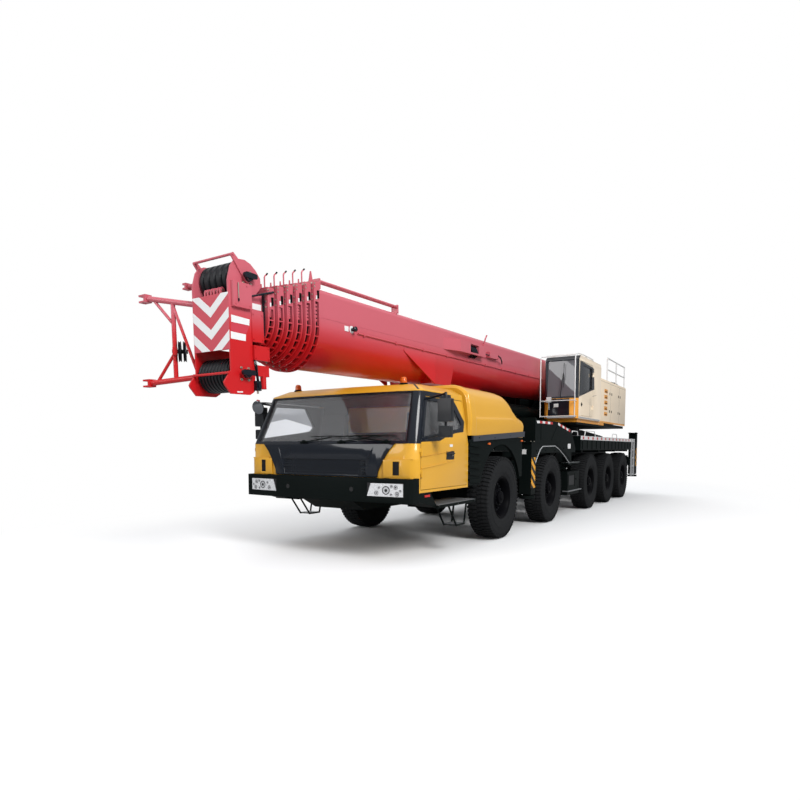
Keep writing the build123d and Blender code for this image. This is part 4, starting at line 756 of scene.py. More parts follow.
def wheel_mesh():
    bm = bmesh.new()
    mirrored_half = [(r, -s) for r, s in reversed(TYRE_PROFILE[:-1])]
    lathe(bm, (0, 0, 0), (0, 1, 0), list(TYRE_PROFILE) + mirrored_half, 92)
    for mesh in (
        repeated(shoulder_seed(1), AROUND, RUBBER, count=BLOCKS, first_angle=0.0),
        repeated(shoulder_seed(-1), AROUND, RUBBER, count=BLOCKS, first_angle=math.pi / BLOCKS),
        repeated(block_seed(0.006, 0.072, 0.023, 0.650, 0.6845, -0.012), AROUND, RUBBER, count=BLOCKS,
                 first_angle=0.4 * math.pi / BLOCKS),
        repeated(block_seed(-0.072, -0.006, 0.023, 0.650, 0.6845, -0.012), AROUND, RUBBER, count=BLOCKS,
                 first_angle=1.4 * math.pi / BLOCKS),
    ):
        join(bm, mesh)
    for radius, s in ((0.405, 0.1745), (0.520, 0.1865)):
        lathe(bm, (0, 0, 0), (0, 1, 0), [(radius - 0.004, s - 0.004), (radius - 0.002, s + 0.001),
                                         (radius + 0.002, s + 0.001), (radius + 0.004, s - 0.004)], 72)
    lathe(bm, (0, 0, 0), (0, 1, 0), RIM_PROFILE, 64, 1)
    lathe(bm, (0, 0, 0), (0, 1, 0), [(0.300, -0.140), (0.270, -0.05), (0.17, -0.05), (0.17, -0.14), (0, -0.14)], 48, 1)
    lathe(bm, (0, 0, 0), (0, 1, 0), HUB_PROFILE, 40, 1)
    nut = bmesh.new()
    lathe(nut, (0, 0.010, 0.226), (0, 1, 0), [(0, 0), (0.019, 0), (0.019, 0.005), (0.0145, 0.006), (0.0145, 0.028),
                                              (0.010, 0.032), (0.006, 0.040), (0, 0.040)], 6)
    join(bm, repeated(nut, AROUND, STEEL, count=NUTS, first_angle=0.0), 2)
    cap = bmesh.new()
    lathe(cap, (0, 0.090, 0.127), (0, 1, 0), [(0, 0), (0.009, 0), (0.009, 0.012), (0, 0.012)], 6)
    join(bm, repeated(cap, AROUND, STEEL, count=12, first_angle=0.1), 2)
    bmesh.ops.recalc_face_normals(bm, faces=bm.faces)
    return bm


def place_wheels():
    master = wheel_mesh()
    master_mesh = bpy.data.meshes.new("wheel_master")
    master.to_mesh(master_mesh)
    master.free()
    print("one wheel has", sum(len(p.vertices) - 2 for p in master_mesh.polygons), "triangles")
    for number in range(1, 6):
        for name, side in (("left", 1), ("right", -1)):
            node = f"wheel_{number}_{name}"
            spot = middle(node)
            turn = Matrix.Rotation(0 if side > 0 else math.pi, 4, "Z")
            twist = Matrix.Rotation(0.37 * number + 0.21 * side, 4, "Y")
            bm = bmesh.new()
            bm.from_mesh(master_mesh)
            bm.transform(Matrix.Translation(spot) @ turn @ twist)
            finish(f"tyre_and_rim_{number}_{name}", bm, [RUBBER, BLACK_RIM, STEEL], node, "tyre_rubber",
                   smooth=28, replaces=(node,))
    bpy.data.meshes.remove(master_mesh)


place_wheels()

# %% [markdown]
# The boom's pieces are easiest to draw with the boom lying level, so they are made with u along it, y
# across and w up, and one matrix then lays them on the tilted boom. The first of them are the plates on
# the head: strips of white reflective film on a field of red film, which reads as pink by day.

# %% A matrix for the boom, and films and bolts
BOOM_FRAME = (Matrix.Translation(at(PIVOT[0], 0, PIVOT[1]))
              @ Matrix.Rotation(BOOM_TILT, 4, "Y"))
ZINC = plain("zinc_bolt", (0.50, 0.47, 0.40), 0.32, metallic=0.85, bump_scale=200)
RED_FILM = plain("red_film", (0.60, 0.045, 0.075), 0.42, bump_scale=350, bump=0.06)
WHITE_FILM = plain("white_film", (0.88, 0.88, 0.88), 0.38, bump_scale=350, bump=0.06)


def boom_piece(name, bm, materials, body, slot, **options):
    """A piece drawn in the boom's own u, y, w."""
    bm.transform(BOOM_FRAME)
    return finish(name, bm, materials, body, slot, **options)


# %% Chevrons on the head's front plate and patches on its sides
PLATE_U, PLATE_HALF, PLATE_LOW, PLATE_HIGH = 13.420, 0.2865, -0.2445, 0.3495
CHEVRON_HALVES = (
    ((0, 0.113), (0.286, 0.332), (0.286, 0.349), (0.174, 0.349), (0, 0.217)),
    ((0, -0.124), (0.286, 0.090), (0.286, 0.195), (0, -0.020)),
    ((0.286, -0.043), (0.286, -0.148), (0.159, -0.244), (0.021, -0.244)),
)
# patches on the sides: y of the surface, and the corners
SIDE_PATCHES = (
    (0.2923, ((13.396, 0.116), (13.137, 0.105), (13.143, 0.038), (13.396, 0.041))),
    (0.2923, ((13.410, -0.059), (13.197, -0.065), (13.203, -0.137), (13.410, -0.135))),
    (0.2700, ((13.068, 0.297), (12.935, 0.297), (12.938, 0.232), (13.068, 0.232))),
    (0.2923, ((13.350, -0.700), (13.270, -0.698), (13.270, -0.684), (13.350, -0.686))),
)


def head_films():
    bm = bmesh.new()
    box(bm, (PLATE_U - 0.002, -PLATE_HALF, PLATE_LOW), (PLATE_U + 0.0012, PLATE_HALF, PLATE_HIGH), 0)
    for half in CHEVRON_HALVES:
        for side in (1, -1):
            prism(bm, [(PLATE_U, side * y, w) for y, w in half], (0.0025, 0, 0), 1)
    for surface, corners in SIDE_PATCHES:
        for side in (1, -1):
            prism(bm, [(u, side * (surface - 0.001), w) for u, w in corners], (0, side * 0.003, 0), 1)
    for side in (1, -1):
        prism(bm,
              [(u, side * 0.2915, w) for u,
               w in ((13.398, 0.036), (13.143, 0.034), (13.190, -0.057), (13.410, -0.055))],
              (0, side * 0.002, 0), 0)
    return boom_piece("head_reflective_films", bm, [RED_FILM, WHITE_FILM], "boom_section_7", "white_rail")


head_films()

# %% [markdown]
# On the head the pins end in black keeper bars with four bolts each. Lugs for the rope's end stand on
# the front plate, and a thin gauge rod, a valve block and a few hoses are fixed on the left side.

# %% Keepers, lugs, gauge rod, valve block and hoses on the head
HEAD_PINS = ((13.160, 0.545), (13.230, -0.495))
KEEPER_HALF_U, KEEPER_HALF_W = 0.094, 0.030
ROPE_LUGS = (-0.105, -0.005, 0.095)


def rounded_bar(bm, u, w, half_u, half_w, y0, y1, mat):
    """A bar with round ends, lying along the boom."""
    outline = []
    for n in range(16):
        a = math.tau * n / 16
        shift = half_u - half_w if math.cos(a) >= 0 else half_w - half_u
        outline.append((u + shift + half_w * math.cos(a), y0, w + half_w * math.sin(a)))
    prism(bm, outline, (0, y1 - y0, 0), mat)


def head_fittings():
    bm = bmesh.new()
    for u, w in HEAD_PINS:
        for side in (1, -1):
            lathe(bm, (u, side * 0.3185, w), (0, side, 0),
                  [(0, 0), (0.048, 0), (0.048, 0.030), (0.042, 0.036), (0, 0.036)],
                  24, 0)
            rounded_bar(bm, u, w + 0.012, KEEPER_HALF_U, KEEPER_HALF_W, side * 0.340, side * 0.372, 0)
            for du in (-0.052, 0.052):
                for dw in (-0.062, 0.066):
                    bolt(bm, (u + du, side * 0.2923, w + dw), (0, side, 0), 0.011, 0.014, 1)
    for y in ROPE_LUGS:
        outline = [(13.410, y, 0.345), (13.345, y, 0.345), (13.345, y, 0.395)]
        outline += [(13.3775 + 0.0325 * math.cos(a), y, 0.395 + 0.0325 * math.sin(a))
                    for a in (math.pi * 0.75, math.pi / 2, math.pi / 4)]
        outline += [(13.410, y, 0.395)]
        for dy in (0, 0.045):
            prism(bm, [(u, yy + dy, w) for u, yy, w in outline], (0, 0.014, 0), 2)
        rod(bm, [(13.378, y - 0.010, 0.393), (13.378, y + 0.068, 0.393)], 0.014, 12, 1)
    rod(bm, [(13.325, 0.343, 0.455), (13.325, 0.343, 0.292)], 0.0065, 8, 1)
    rod(bm, [(13.325, 0.343, 0.292), (13.325, 0.343, 0.262)], 0.009, 8, 0)
    for w in (0.445, 0.30):
        box(bm, (13.317, 0.334, w - 0.006), (13.333, 0.346, w + 0.006), 2)
    box(bm, (13.035, 0.2923, -0.668), (13.105, 0.338, -0.560), 0)
    box(bm, (13.045, 0.338, -0.640), (13.090, 0.352, -0.585), 0)
    rod(bm, [(13.07, 0.315, -0.668), (13.07, 0.315, -0.700)], 0.012, 8, 1)
    for y in (0.305, 0.325):
        rod(bm, [(13.062, y, -0.560), (13.072, y, -0.50), (13.082, y + 0.004, -0.44), (13.088, y, -0.37),
                 (13.085, y - 0.012, -0.332)], 0.008, 8, 0)
    rod(bm, [(12.925, 0.287, 0.400), (12.923, 0.290, 0.20), (12.925, 0.287, -0.05)], 0.007, 8, 0)
    rod(bm, [(12.925, 0.306, 0.405), (12.923, 0.309, 0.20), (12.925, 0.306, -0.05)], 0.006, 8, 0)
    rod(bm, [(13.125, 0.318, 0.352), (13.06, 0.334, 0.372), (12.98, 0.352, 0.398), (12.90, 0.366, 0.424),
             (12.83, 0.369, 0.445)], 0.011, 8, 0)
    rod(bm, [(12.985, 0.352, 0.396), (12.955, 0.345, 0.375), (12.935, 0.325, 0.340), (12.925, 0.307, 0.30)],
        0.007, 8, 0)
    for u, w in ((13.20, 0.44), (13.32, 0.44), (13.36, 0.235), (13.16, 0.235)):
        bolt(bm, (u, 0.334, w), (0, 1, 0), 0.007, 0.008, 2)
    for u, w in ((12.955, 0.17), (12.955, -0.10), (13.09, 0.17), (13.09, -0.10)):
        for side in (1, -1):
            bolt(bm, (u, side * 0.302, w), (0, side, 0), 0.008, 0.009, 2)
    for u, w in ((12.90, -0.19), (12.90, -0.31), (13.09, -0.19), (13.09, -0.31)):
        for side in (1, -1):
            bolt(bm, (u, side * 0.325, w), (0, side, 0), 0.008, 0.009, 2)
    return boom_piece("head_fittings", bm, [BLACK_GLOSS, ZINC, RED], "boom_section_7", "black_frame", smooth=35)


head_fittings()

# %% [markdown]
# The mouths of the six outer sections are what gives the boom its ribbed nose. Between its two flanges
# each collar is dark: a black sheet fills the recess, partly the real dark parts there and partly painted
# shade. With it come a column of round pads on each side, more ribs round the half round below, a small
# black stop with a white tag near the top, and zinc bolts. Each ring belongs to its own section, so each
# rides on its own body and moves out with it.

# %% Collar dress for each section's mouth
COLLAR_FRONT, COLLAR_STEP, COLLAR_LONG, FLANGE = 12.320, 0.118, 0.104, 0.020
COLLAR_HALF, COLLAR_HALF_STEP = 0.480, 0.035
COLLAR_MIDDLE, COLLAR_HIGH, COLLAR_HIGH_STEP = 0.145, 0.470, 0.034
WEB_OUT, FLANGE_OUT, CORNER_BOX_H = 0.012, 0.048, 0.190
PADS_UP = (0.12, 0.30, 0.48, 0.66, 0.84)
EXTRA_RIBS = (-87.5, -62.5, -37.5, -12.5, 12.5, 37.5, 62.5, 87.5)


def collar_dress(number):
    n = number - 1
    front = COLLAR_FRONT + COLLAR_STEP * n
    rear = front - COLLAR_LONG
    half = COLLAR_HALF - COLLAR_HALF_STEP * n
    high = COLLAR_MIDDLE + COLLAR_HIGH - COLLAR_HIGH_STEP * n
    low = COLLAR_MIDDLE - COLLAR_HIGH + COLLAR_HIGH_STEP * n
    u0, u1 = rear + FLANGE + 0.0005, front - FLANGE - 0.0005
    side_low = low + half + 0.02
    side_high = high - CORNER_BOX_H - 0.002
    bm = bmesh.new()
    web = half + WEB_OUT
    # The black sheet on each side and the black band round the half round fill the recess between the flanges: partly
    # the real dark parts, partly painted shade.
    for side in (1, -1):
        box(bm, (u0, min(side * web, side * (web + 0.002)), side_low - 0.03),
            (u1, max(side * web, side * (web + 0.002)), side_high), 0)
        for share in PADS_UP:
            w = side_low + (side_high - side_low) * share
            lathe(bm, ((u0 + u1) / 2 + 0.012, side * web, w), (0, side, 0),
                  [(0, 0), (0.016, 0), (0.016, 0.028), (0.011, 0.034), (0, 0.034)], 12, 1)
        box(bm, (u0 + 0.004, min(side * (half + 0.048), side * (half + 0.062)), high - 0.150),
            (u0 + 0.030, max(side * (half + 0.048), side * (half + 0.062)), high - 0.060), 0)
        box(bm, (u0 + 0.036, min(side * (half + 0.048), side * (half + 0.055)), high - 0.165),
            (u0 + 0.054, max(side * (half + 0.048), side * (half + 0.055)), high - 0.120), 3)
        for w in (high + 0.020, high - 0.040, high - 0.110, high - 0.170):
            bolt(bm, (front, side * (half + 0.018), w), (1, 0, 0), 0.008, 0.009, 2)
        for w in (high + 0.018, high - 0.020):
            bolt(bm, (front - 0.012, side * (half + 0.048), w), (0, side, 0), 0.008, 0.009, 2)
        for k in range(4):
            y = side * (half - 0.09 - k * 0.085)
            bolt(bm, (front, y, high + 0.030), (1, 0, 0), 0.007, 0.008, 2)
        bolt(bm, (front, side * 0.05, low - 0.022), (1, 0, 0), 0.009, 0.010, 2)
    steps = 28
    centre = low + half
    inner = [(web * math.cos(-math.pi * k / steps), centre + web * math.sin(-math.pi * k / steps))
             for k in range(steps + 1)]
    for (ya, wa), (yb, wb) in zip(inner, inner[1:]):
        grow = (web + 0.002) / web
        corners = [(ya, wa), (yb, wb), (yb * grow, centre + (wb - centre) * grow),
                   (ya * grow, centre + (wa - centre) * grow)]
        prism(bm, [(u0, y, w) for y, w in corners], (u1 - u0, 0, 0), 0)
    for angle in EXTRA_RIBS:
        a = math.radians(angle - 90)
        out = Vector((0, math.cos(a), math.sin(a)))
        across = Vector((0, -math.sin(a), math.cos(a))) * 0.006
        foot = Vector(((u0), 0, centre)) + out * (web - 0.002)
        tip = Vector(((u0), 0, centre)) + out * (half + FLANGE_OUT - 0.003)
        prism(bm, [foot - across, foot + across, tip + across, tip - across], (u1 - u0, 0, 0), 1)
    if number > 1:
        y = half - 0.045
        top = high + FLANGE_OUT
        rod(bm, [(front - 0.052, y, high + 0.010), (front - 0.052, y, top + 0.125), (front - 0.058, y, top + 0.140),
                 (front - 0.100, y, top + 0.178)], 0.0085, 8, 1)
        rod(bm, [(front - 0.078, y, top + 0.158), (front - 0.102, y, top + 0.180)], 0.0095, 8, 0)
        prism(bm, [(front - 0.030, y - 0.03, top - 0.002), (front - 0.012, y - 0.03, top - 0.002),
                   (front - 0.016, y - 0.03, top + 0.050), (front - 0.026, y - 0.03, top + 0.050)], (0, 0.012, 0), 1)
    else:
        prism(bm, [(12.225, 0.425, high + 0.046), (12.300, 0.425, high + 0.046), (12.268, 0.425, high + 0.180),
                   (12.256, 0.425, high + 0.180)], (0, 0.014, 0), 1)
    body = "boom_base" if number == 1 else f"boom_section_{number}"
    return boom_piece(f"collar_dress_{number}", bm, [BLACK, RED, ZINC, WHITE_FILM], body, "red_paint")


for number in range(1, 7):
    collar_dress(number)
print("six collars dressed")

# %% [markdown]
# Along the base section a thin pipe follows the bend line of the side plate on small clips. The hose
# box has a dark mouth with hoses, the small round lamp sits near the collar, and weld seams show as
# thin raised lines where plates meet.

# %% Pipe, clips, lamp, hoses and seams on the base section
PIPE_PATH = ((11.40, 0.494, 0.172), (9.30, 0.494, 0.152), (7.0, 0.494, 0.136), (4.17, 0.494, 0.115), (1.2, 0.494, 0.10))
CLIP_STEP, CLIPS = -0.80, 13


def boom_side():
    bm = bmesh.new()
    rod(bm, PIPE_PATH, 0.010, 8, 1)
    clip = bmesh.new()
    box(clip, (11.25, 0.480, 0.150), (11.28, 0.507, 0.186))
    join(bm, repeated(clip, ROW, RED, count=CLIPS, step=(CLIP_STEP, 0, -0.0055)), 1)
    for side in (1, -1):
        box(bm, (-0.40, min(side * 0.4795, side * 0.4825), 0.262), (12.21, max(side * 0.4795, side * 0.4825), 0.268), 1)
    lathe(bm, (11.53, 0.480, 0.205), (0, 1, 0), [(0, 0), (0.048, 0), (0.048, 0.006), (0, 0.006)], 20, 3)
    lathe(bm, (11.53, 0.480, 0.205), (0, 1, 0),
          [(0, 0.004), (0.020, 0.004), (0.020, 0.030), (0.034, 0.040), (0.034, 0.075),
                                                (0.024, 0.084), (0, 0.084)], 20, 0)
    box(bm, (11.60, 0.480, 0.170), (11.68, 0.486, 0.235), 3)
    box(bm, (7.802, 0.5195, 0.287), (8.148, 0.5225, 0.428), 0)
    for u in (7.86, 7.93, 8.00, 8.07):
        rod(bm, [(u, 0.545, 0.40), (u, 0.575, 0.36), (u - 0.01, 0.598, 0.30), (u - 0.03, 0.570, 0.245),
                 (u - 0.05, 0.500, 0.215)], 0.013, 8, 0)
    for u in (8.9, 8.6, 8.3, 7.6):
        bolt(bm, (u, 0.46 if u > 8.8 else 0.56, 0.455), (0, 0, 1), 0.009, 0.010, 2)
    rod(bm, [(6.80, 0.560, 0.36), (6.72, 0.575, 0.33), (6.62, 0.560, 0.28), (6.50, 0.515, 0.24)], 0.014, 8, 0)
    rod(bm, [(7.20, 0.545, 0.34), (7.30, 0.565, 0.32), (7.42, 0.560, 0.33), (7.52, 0.540, 0.36)], 0.012, 8, 0)
    for u in (6.81, 7.17):
        for w in (0.31, 0.38):
            bolt(bm, (u, 0.560, w), (0, 1, 0), 0.008, 0.009, 1)
    return boom_piece("boom_side_fittings", bm, [BLACK_GLOSS, RED, ZINC, WHITE_FILM], "boom_base", "red_paint")


boom_side()

# %% [markdown]
# The winch drum is full of rope. Real windings are a helix, but turns that lie this close look the same
# as rings, so a wavy profile is spun round the drum: it costs little and keeps the drum free to turn.

# %% Rope on the winch drum
DRUM_MIDDLE = middle("winch_drum")
ROPE_R, ROPE_LAYER_R, WIND_HALF = 0.011, 0.262, 0.425


def drum_rope():
    bm = bmesh.new()
    turns = int(2 * WIND_HALF / (2 * ROPE_R))
    profile = [(0.226, -WIND_HALF)]
    for k in range(turns):
        s = -WIND_HALF + ROPE_R * (2 * k + 1)
        profile += [(ROPE_LAYER_R, s - ROPE_R * 0.95), (ROPE_LAYER_R + ROPE_R * 0.75, s - ROPE_R * 0.6),
                    (ROPE_LAYER_R + ROPE_R, s), (ROPE_LAYER_R + ROPE_R * 0.75, s + ROPE_R * 0.6)]
    profile += [(ROPE_LAYER_R, WIND_HALF), (0.226, WIND_HALF)]
    lathe(bm, DRUM_MIDDLE, (0, 1, 0), profile, 40)
    return finish("winch_rope", bm, [ROPE], "winch_drum", "steel_rope", smooth=60)


drum_rope()

# %% [markdown]
# Sheet metal is pressed, so its edges are round and catch a bright line of light. The solids have hard
# edges. For the panels that the eye rests on, a copy of the node is welded into one mesh, its long
# outward edges are rounded, and the copy stands for the node. On a copy each face can also have its own
# finish, which is how one pressing can be yellow outside, black round the glass and dark inside.

# %% Rounded copies of CAD nodes
INTERIOR = painted("cab_interior", (0.030, 0.030, 0.033), (0.022, 0.022, 0.024), 0.7, dust=0.0, bump=0.05, patch=4,
                   shine=0.3)


def welded_copy(node):
    bm = bmesh.new()
    bm.from_mesh(NODES[node].data)
    bmesh.ops.remove_doubles(bm, verts=bm.verts, dist=2e-5)
    bmesh.ops.dissolve_limit(bm, angle_limit=math.radians(0.6), verts=bm.verts, edges=bm.edges)
    bmesh.ops.recalc_face_normals(bm, faces=bm.faces)
    return bm


def round_edges(bm, radius, shortest=0.10, chosen=None):
    """Round the long outward edges."""
    edges = []
    for edge in bm.edges:
        if len(edge.link_faces) != 2 or not edge.is_convex or edge.calc_length() < shortest:
            continue
        if not math.radians(24) < edge.calc_face_angle(0) < math.radians(125):
            continue
        if min(face.calc_area() for face in edge.link_faces) < 0.004:
            continue
        if chosen and not chosen((edge.verts[0].co + edge.verts[1].co) / 2):
            continue
        edges.append(edge)
    bmesh.ops.bevel(bm, geom=edges, offset=radius, segments=3, profile=0.5, affect="EDGES", clamp_overlap=True)
    return len(edges)


def paint_faces(bm, rule):
    for face in bm.faces:
        face.material_index = rule(face.calc_center_median(), face.normal)


def loose_parts(bm):
    """The faces of a mesh, one list for each closed form in it."""
    left = set(bm.faces)
    parts = []
    while left:
        stack = [left.pop()]
        part = list(stack)
        while stack:
            face = stack.pop()
            for edge in face.edges:
                for other in edge.link_faces:
                    if other in left:
                        left.discard(other)
                        stack.append(other)
                        part.append(other)
        parts.append(part)
    return parts


def reach(part):
    points = [v.co for face in part for v in face.verts]
    low = Vector([min(p[k] for p in points) for k in range(3)])
    high = Vector([max(p[k] for p in points) for k in range(3)])
    return low, high


# %% [markdown]
# The cab's shell is yellow below the waist and on the roof. Round the windscreen and down the corner
# pillars it is black, so that glass and pillars read as one dark band. The plan of the cab is a few
# numbers, which the pieces on its skin use to lie on it.

# %% The cab's shell in yellow, black and dark grey
WAIST, EAVE, CAB_SIDE, CAB_REAR, CAB_NOSE, NOSE_BOW = 1.560, 2.270, 1.450, 1.300, 2.860, 24.2
LEAN_FRONT, LEAN_SIDE = 0.290, 0.110
# the black band round the windscreen: its upper edge, and how far back it goes
BAND_TOP, BAND_REAR = 2.252, 1.66


def lean(z, amount):
    """How far the skin leans in at a height; above the eave the roof closes in quickly."""
    roof = 0.170 * min(1.0, max(0.0, (z - EAVE) / 0.090))
    return amount * min(1.0, max(0.0, (z - WAIST) / (EAVE - WAIST))) + roof


def cab_front_x(y, z, out=0.0):
    """The front skin of the cab at a width and height, from the front axle."""
    return CAB_NOSE + out - y * y / NOSE_BOW - lean(z, LEAN_FRONT)


def cab_side_y(z, out=0.0):
    return CAB_SIDE + out - lean(z, LEAN_SIDE)


def inside_cab(place, skin=0.035):
    x, y, z = place.x - AXLE_1, abs(place.y), place.z
    return (CAB_REAR + skin < x < cab_front_x(y, z) - skin and y < cab_side_y(z) - skin
            and 0.93 + skin < z < 2.36 - skin)


def cab_shell():
    bm = welded_copy("cab_shell")
    split_at(bm, (0, 0, BAND_TOP), (0, 0, 1))
    split_at(bm, at(BAND_REAR, 0, 0), (1, 0, 0))
    count = round_edges(bm, 0.012)

    def finish_of(place, normal):
        if inside_cab(place):
            return 2
        if WAIST + 0.004 < place.z < BAND_TOP - 0.001 and place.x - AXLE_1 > BAND_REAR:
            return 1
        return 0

    paint_faces(bm, finish_of)
    print("cab shell,", count, "edges rounded")
    return finish("cab_shell_painted", bm, [YELLOW, BLACK_GLOSS, INTERIOR], "chassis", "yellow_paint",
                  smooth=35, replaces=("cab_shell",))


cab_shell()

# %% [markdown]
# Each door is one node with its leaf, its tinted pane and its two mirrors, because they turn together.
# The copy is taken apart into closed forms, and each form gets its own finish: yellow leaf with a dark
# inner side, nearly clear pane, dark mirror shells with a bright face that looks to the rear.

# %% Door leaves, panes and mirrors
PANE = tinted_glass("pane_glass", (0.95, 0.96, 0.98), 0.96)
MIRROR_SHELL = painted("mirror_shell", (0.011, 0.013, 0.016), (0.008, 0.010, 0.012), 0.3, coat=0.1, dust=0.0, shine=0.3)
MIRROR_GLASS = plain("mirror_face", (0.22, 0.23, 0.25), 0.06, metallic=1.0, bump=0.0)


def cab_door(name):
    bm = welded_copy(name)
    round_edges(bm, 0.007)
    for part in loose_parts(bm):
        low, high = reach(part)
        outer = max(abs(low.y), abs(high.y))
        if outer > CAB_SIDE + 0.10:
            for face in part:
                centre = face.calc_center_median()
                is_face = face.normal.x < -0.9 and face.calc_area() > 0.01 and abs(centre.y) > 1.5
                face.material_index = 3 if is_face else 2
        elif high.z < 2.2 and low.z > 1.6 and high.y - low.y < 0.12:
            for face in part:
                face.material_index = 1
        else:
            for face in part:
                centre = face.calc_center_median()
                edge_of_window = centre.z > 1.6 and abs(face.normal.y) < 0.5
                face.material_index = 4 if inside_cab(centre) or edge_of_window else 0
    return finish(f"{name}_painted", bm, [YELLOW, PANE, MIRROR_SHELL, MIRROR_GLASS, INTERIOR], name, "yellow_paint",
                  smooth=35, replaces=(name,))


cab_door("cab_door_left")
cab_door("cab_door_right")

# %% [markdown]
# The door's window has a wide black frame that dips towards the mirror, a black handle in a recess and
# a pressed crease that runs from the front edge to the handle. They lie on the door's skin, which leans
# in above the waist, so each corner takes its y from its height.

# %% Window frames, handles and creases on the doors
FRAME_OUTER = ((2.664, 1.582), (2.407, 2.178), (1.60, 2.178), (1.345, 1.885), (1.415, 1.735), (1.640, 1.716),
               (1.83, 1.690), (2.16, 1.600))
FRAME_INNER = ((2.582, 1.648), (2.380, 2.124), (1.700, 2.140), (1.446, 1.850), (1.508, 1.783), (1.640, 1.763),
               (1.80, 1.742), (2.16, 1.700))
CREASE = ((2.662, 1.238, 1.256), (2.02, 1.292, 1.308), (1.74, 1.328, 1.336))
UPPER_CREASE = ((2.662, 1.392, 1.402), (2.02, 1.443, 1.450), (1.76, 1.470, 1.474))
DOOR_HANDLE = (1.752, 1.985, 1.345, 1.460)


def strip(bm, low, high, side, out, mat, base=0.0):
    """A thin band on the cab's side between two lines of (x, z)."""
    for (a, b), (c, d) in zip(zip(low, low[1:]), zip(high, high[1:])):
        ring = [a, b, d, c]
        near = [bm.verts.new(at(x, side * cab_side_y(z, base), z)) for x, z in ring]
        far = [bm.verts.new(at(x, side * cab_side_y(z, out), z)) for x, z in ring]
        faces = [bm.faces.new(near), bm.faces.new(list(reversed(far)))]
        for n in range(4):
            m = (n + 1) % 4
            faces.append(bm.faces.new((near[m], near[n], far[n], far[m])))
        for face in faces:
            face.material_index = mat


def door_trim(name, side):
    bm = bmesh.new()
    strip(bm, FRAME_INNER + FRAME_INNER[:1], FRAME_OUTER + FRAME_OUTER[:1], side, 0.004, 0, base=-0.012)
    for line in (CREASE, UPPER_CREASE):
        strip(bm, [(x, z0) for x, z0, z1 in line], [(x, z1) for x, z0, z1 in line], side, 0.010, 1, base=-0.002)
    x0, x1, z0, z1 = DOOR_HANDLE
    y = side * CAB_SIDE
    strip(bm, [(x0, z0), (x1, z0)], [(x0, z1), (x1, z1)], side, 0.004, 0, base=-0.002)
    strip(bm, [(x0 + 0.03, z0 + 0.02), (x1 - 0.03, z0 + 0.02)], [(x0 + 0.03, z0 + 0.05), (x1 - 0.03, z0 + 0.05)],
          side, 0.006, 3)
    rod(bm, [at(x0 + 0.012, y, z1 - 0.030), at(x0 + 0.030, y + side * 0.024, z1 - 0.030),
             at(x1 - 0.030, y + side * 0.024, z1 - 0.030), at(x1 - 0.012, y, z1 - 0.030)], 0.010, 8, 3)
    lathe(bm, at(x0 + 0.045, y, z0 + 0.055), (0, side, 0), [(0, 0), (0.012, 0), (0.012, 0.008), (0, 0.008)], 12, 2)
    strip(bm, [(1.800, 1.520), (1.885, 1.520)], [(1.800, 1.556), (1.885, 1.556)], side, 0.003, 4)
    return finish(f"{name}_trim", bm, [BLACK_GLOSS, YELLOW, ZINC, GREY_PLASTIC, WHITE_FILM], name, "black_frame",
                  bevel=0.0012)


door_trim("cab_door_left", 1)
door_trim("cab_door_right", -1)

# %% [markdown]
# Through the windscreen one looks across the cab and out of the far door, so its glass is about as
# clear as the panes. Along its foot lie three wipers: a pivot on a cowl block, an arm, and a blade. A
# black cowl line closes the joint between glass and grille.

# %% Windscreen, cowl and wipers
SCREEN_GLASS = tinted_glass("windscreen_glass", (0.93, 0.94, 0.97), 0.97)
NODES["cab_glass"].material_slots[0].material = SCREEN_GLASS
WIPERS = ((-0.34, 0.86), (0.32, 0.86), (1.02, -0.80))


def on_front(y, z, out):
    return at(cab_front_x(y, z, out), y, z)


def front_strip(bm, y0, y1, z0, z1, inner, outer, mat, pieces=10):
    """A band that follows the bowed front."""
    for n in range(pieces):
        a, b = y0 + (y1 - y0) * n / pieces, y0 + (y1 - y0) * (n + 1) / pieces
        corners = [(a, z0), (b, z0), (b, z1), (a, z1)]
        near = [bm.verts.new(on_front(y, z, inner)) for y, z in corners]
        far = [bm.verts.new(on_front(y, z, outer)) for y, z in corners]
        faces = [bm.faces.new(near), bm.faces.new(list(reversed(far)))]
        for k in range(4):
            m = (k + 1) % 4
            faces.append(bm.faces.new((near[m], near[k], far[k], far[m])))
        for face in faces:
            face.material_index = mat


def screen_dress():
    bm = bmesh.new()
    front_strip(bm, -1.30, 1.30, 1.563, 1.598, -0.010, 0.010, 0, 14)
    for pivot, length in WIPERS:
        z = 1.585
        lathe(bm, on_front(pivot, z, 0.006), (0.93, 0, 0.36),
              [(0, 0), (0.032, 0), (0.026, 0.022), (0.014, 0.040), (0, 0.042)],
              12, 1)
        box(bm, at(cab_front_x(pivot, z, 0.0), pivot - 0.06, z - 0.020),
            at(cab_front_x(pivot, z, 0.028), pivot + 0.06, z + 0.012), 1)
        end = pivot + length * 0.55
        arm = [on_front(pivot, z, 0.040)]
        arm += [on_front(pivot + length * s, z + 0.05 * s * 2, 0.034) for s in (0.2, 0.4)]
        arm += [on_front(end, z + 0.070, 0.026)]
        rod(bm, arm, 0.0075, 8, 1)
        blade = [on_front(end + length * s, z + 0.070 + 0.012 * (1 - abs(s) * 2), 0.016)
                 for s in (-0.42, -0.2, 0, 0.2, 0.42)]
        rod(bm, blade, 0.007, 6, 1)
    for side in (1, -1):
        rod(bm, [at(cab_front_x(side * 1.30, z, -0.004), side * (1.312 - lean(z, 0.09)), z)
                 for z in (1.60, 1.82, 2.04, 2.24)], 0.006, 6, 1)
    return finish("windscreen_dress", bm, [BLACK_GLOSS, BLACK], "chassis", "black_frame")


screen_dress()

# %% [markdown]
# The grille panel is one dark glossy pressing with two wide recesses, each with thin slats. The corner
# panels have an air slot with upright vanes. Under them the bumper carries on each side a round towing
# hole and a headlamp: a dark pocket, a bright field in it and round lamps of different sizes.

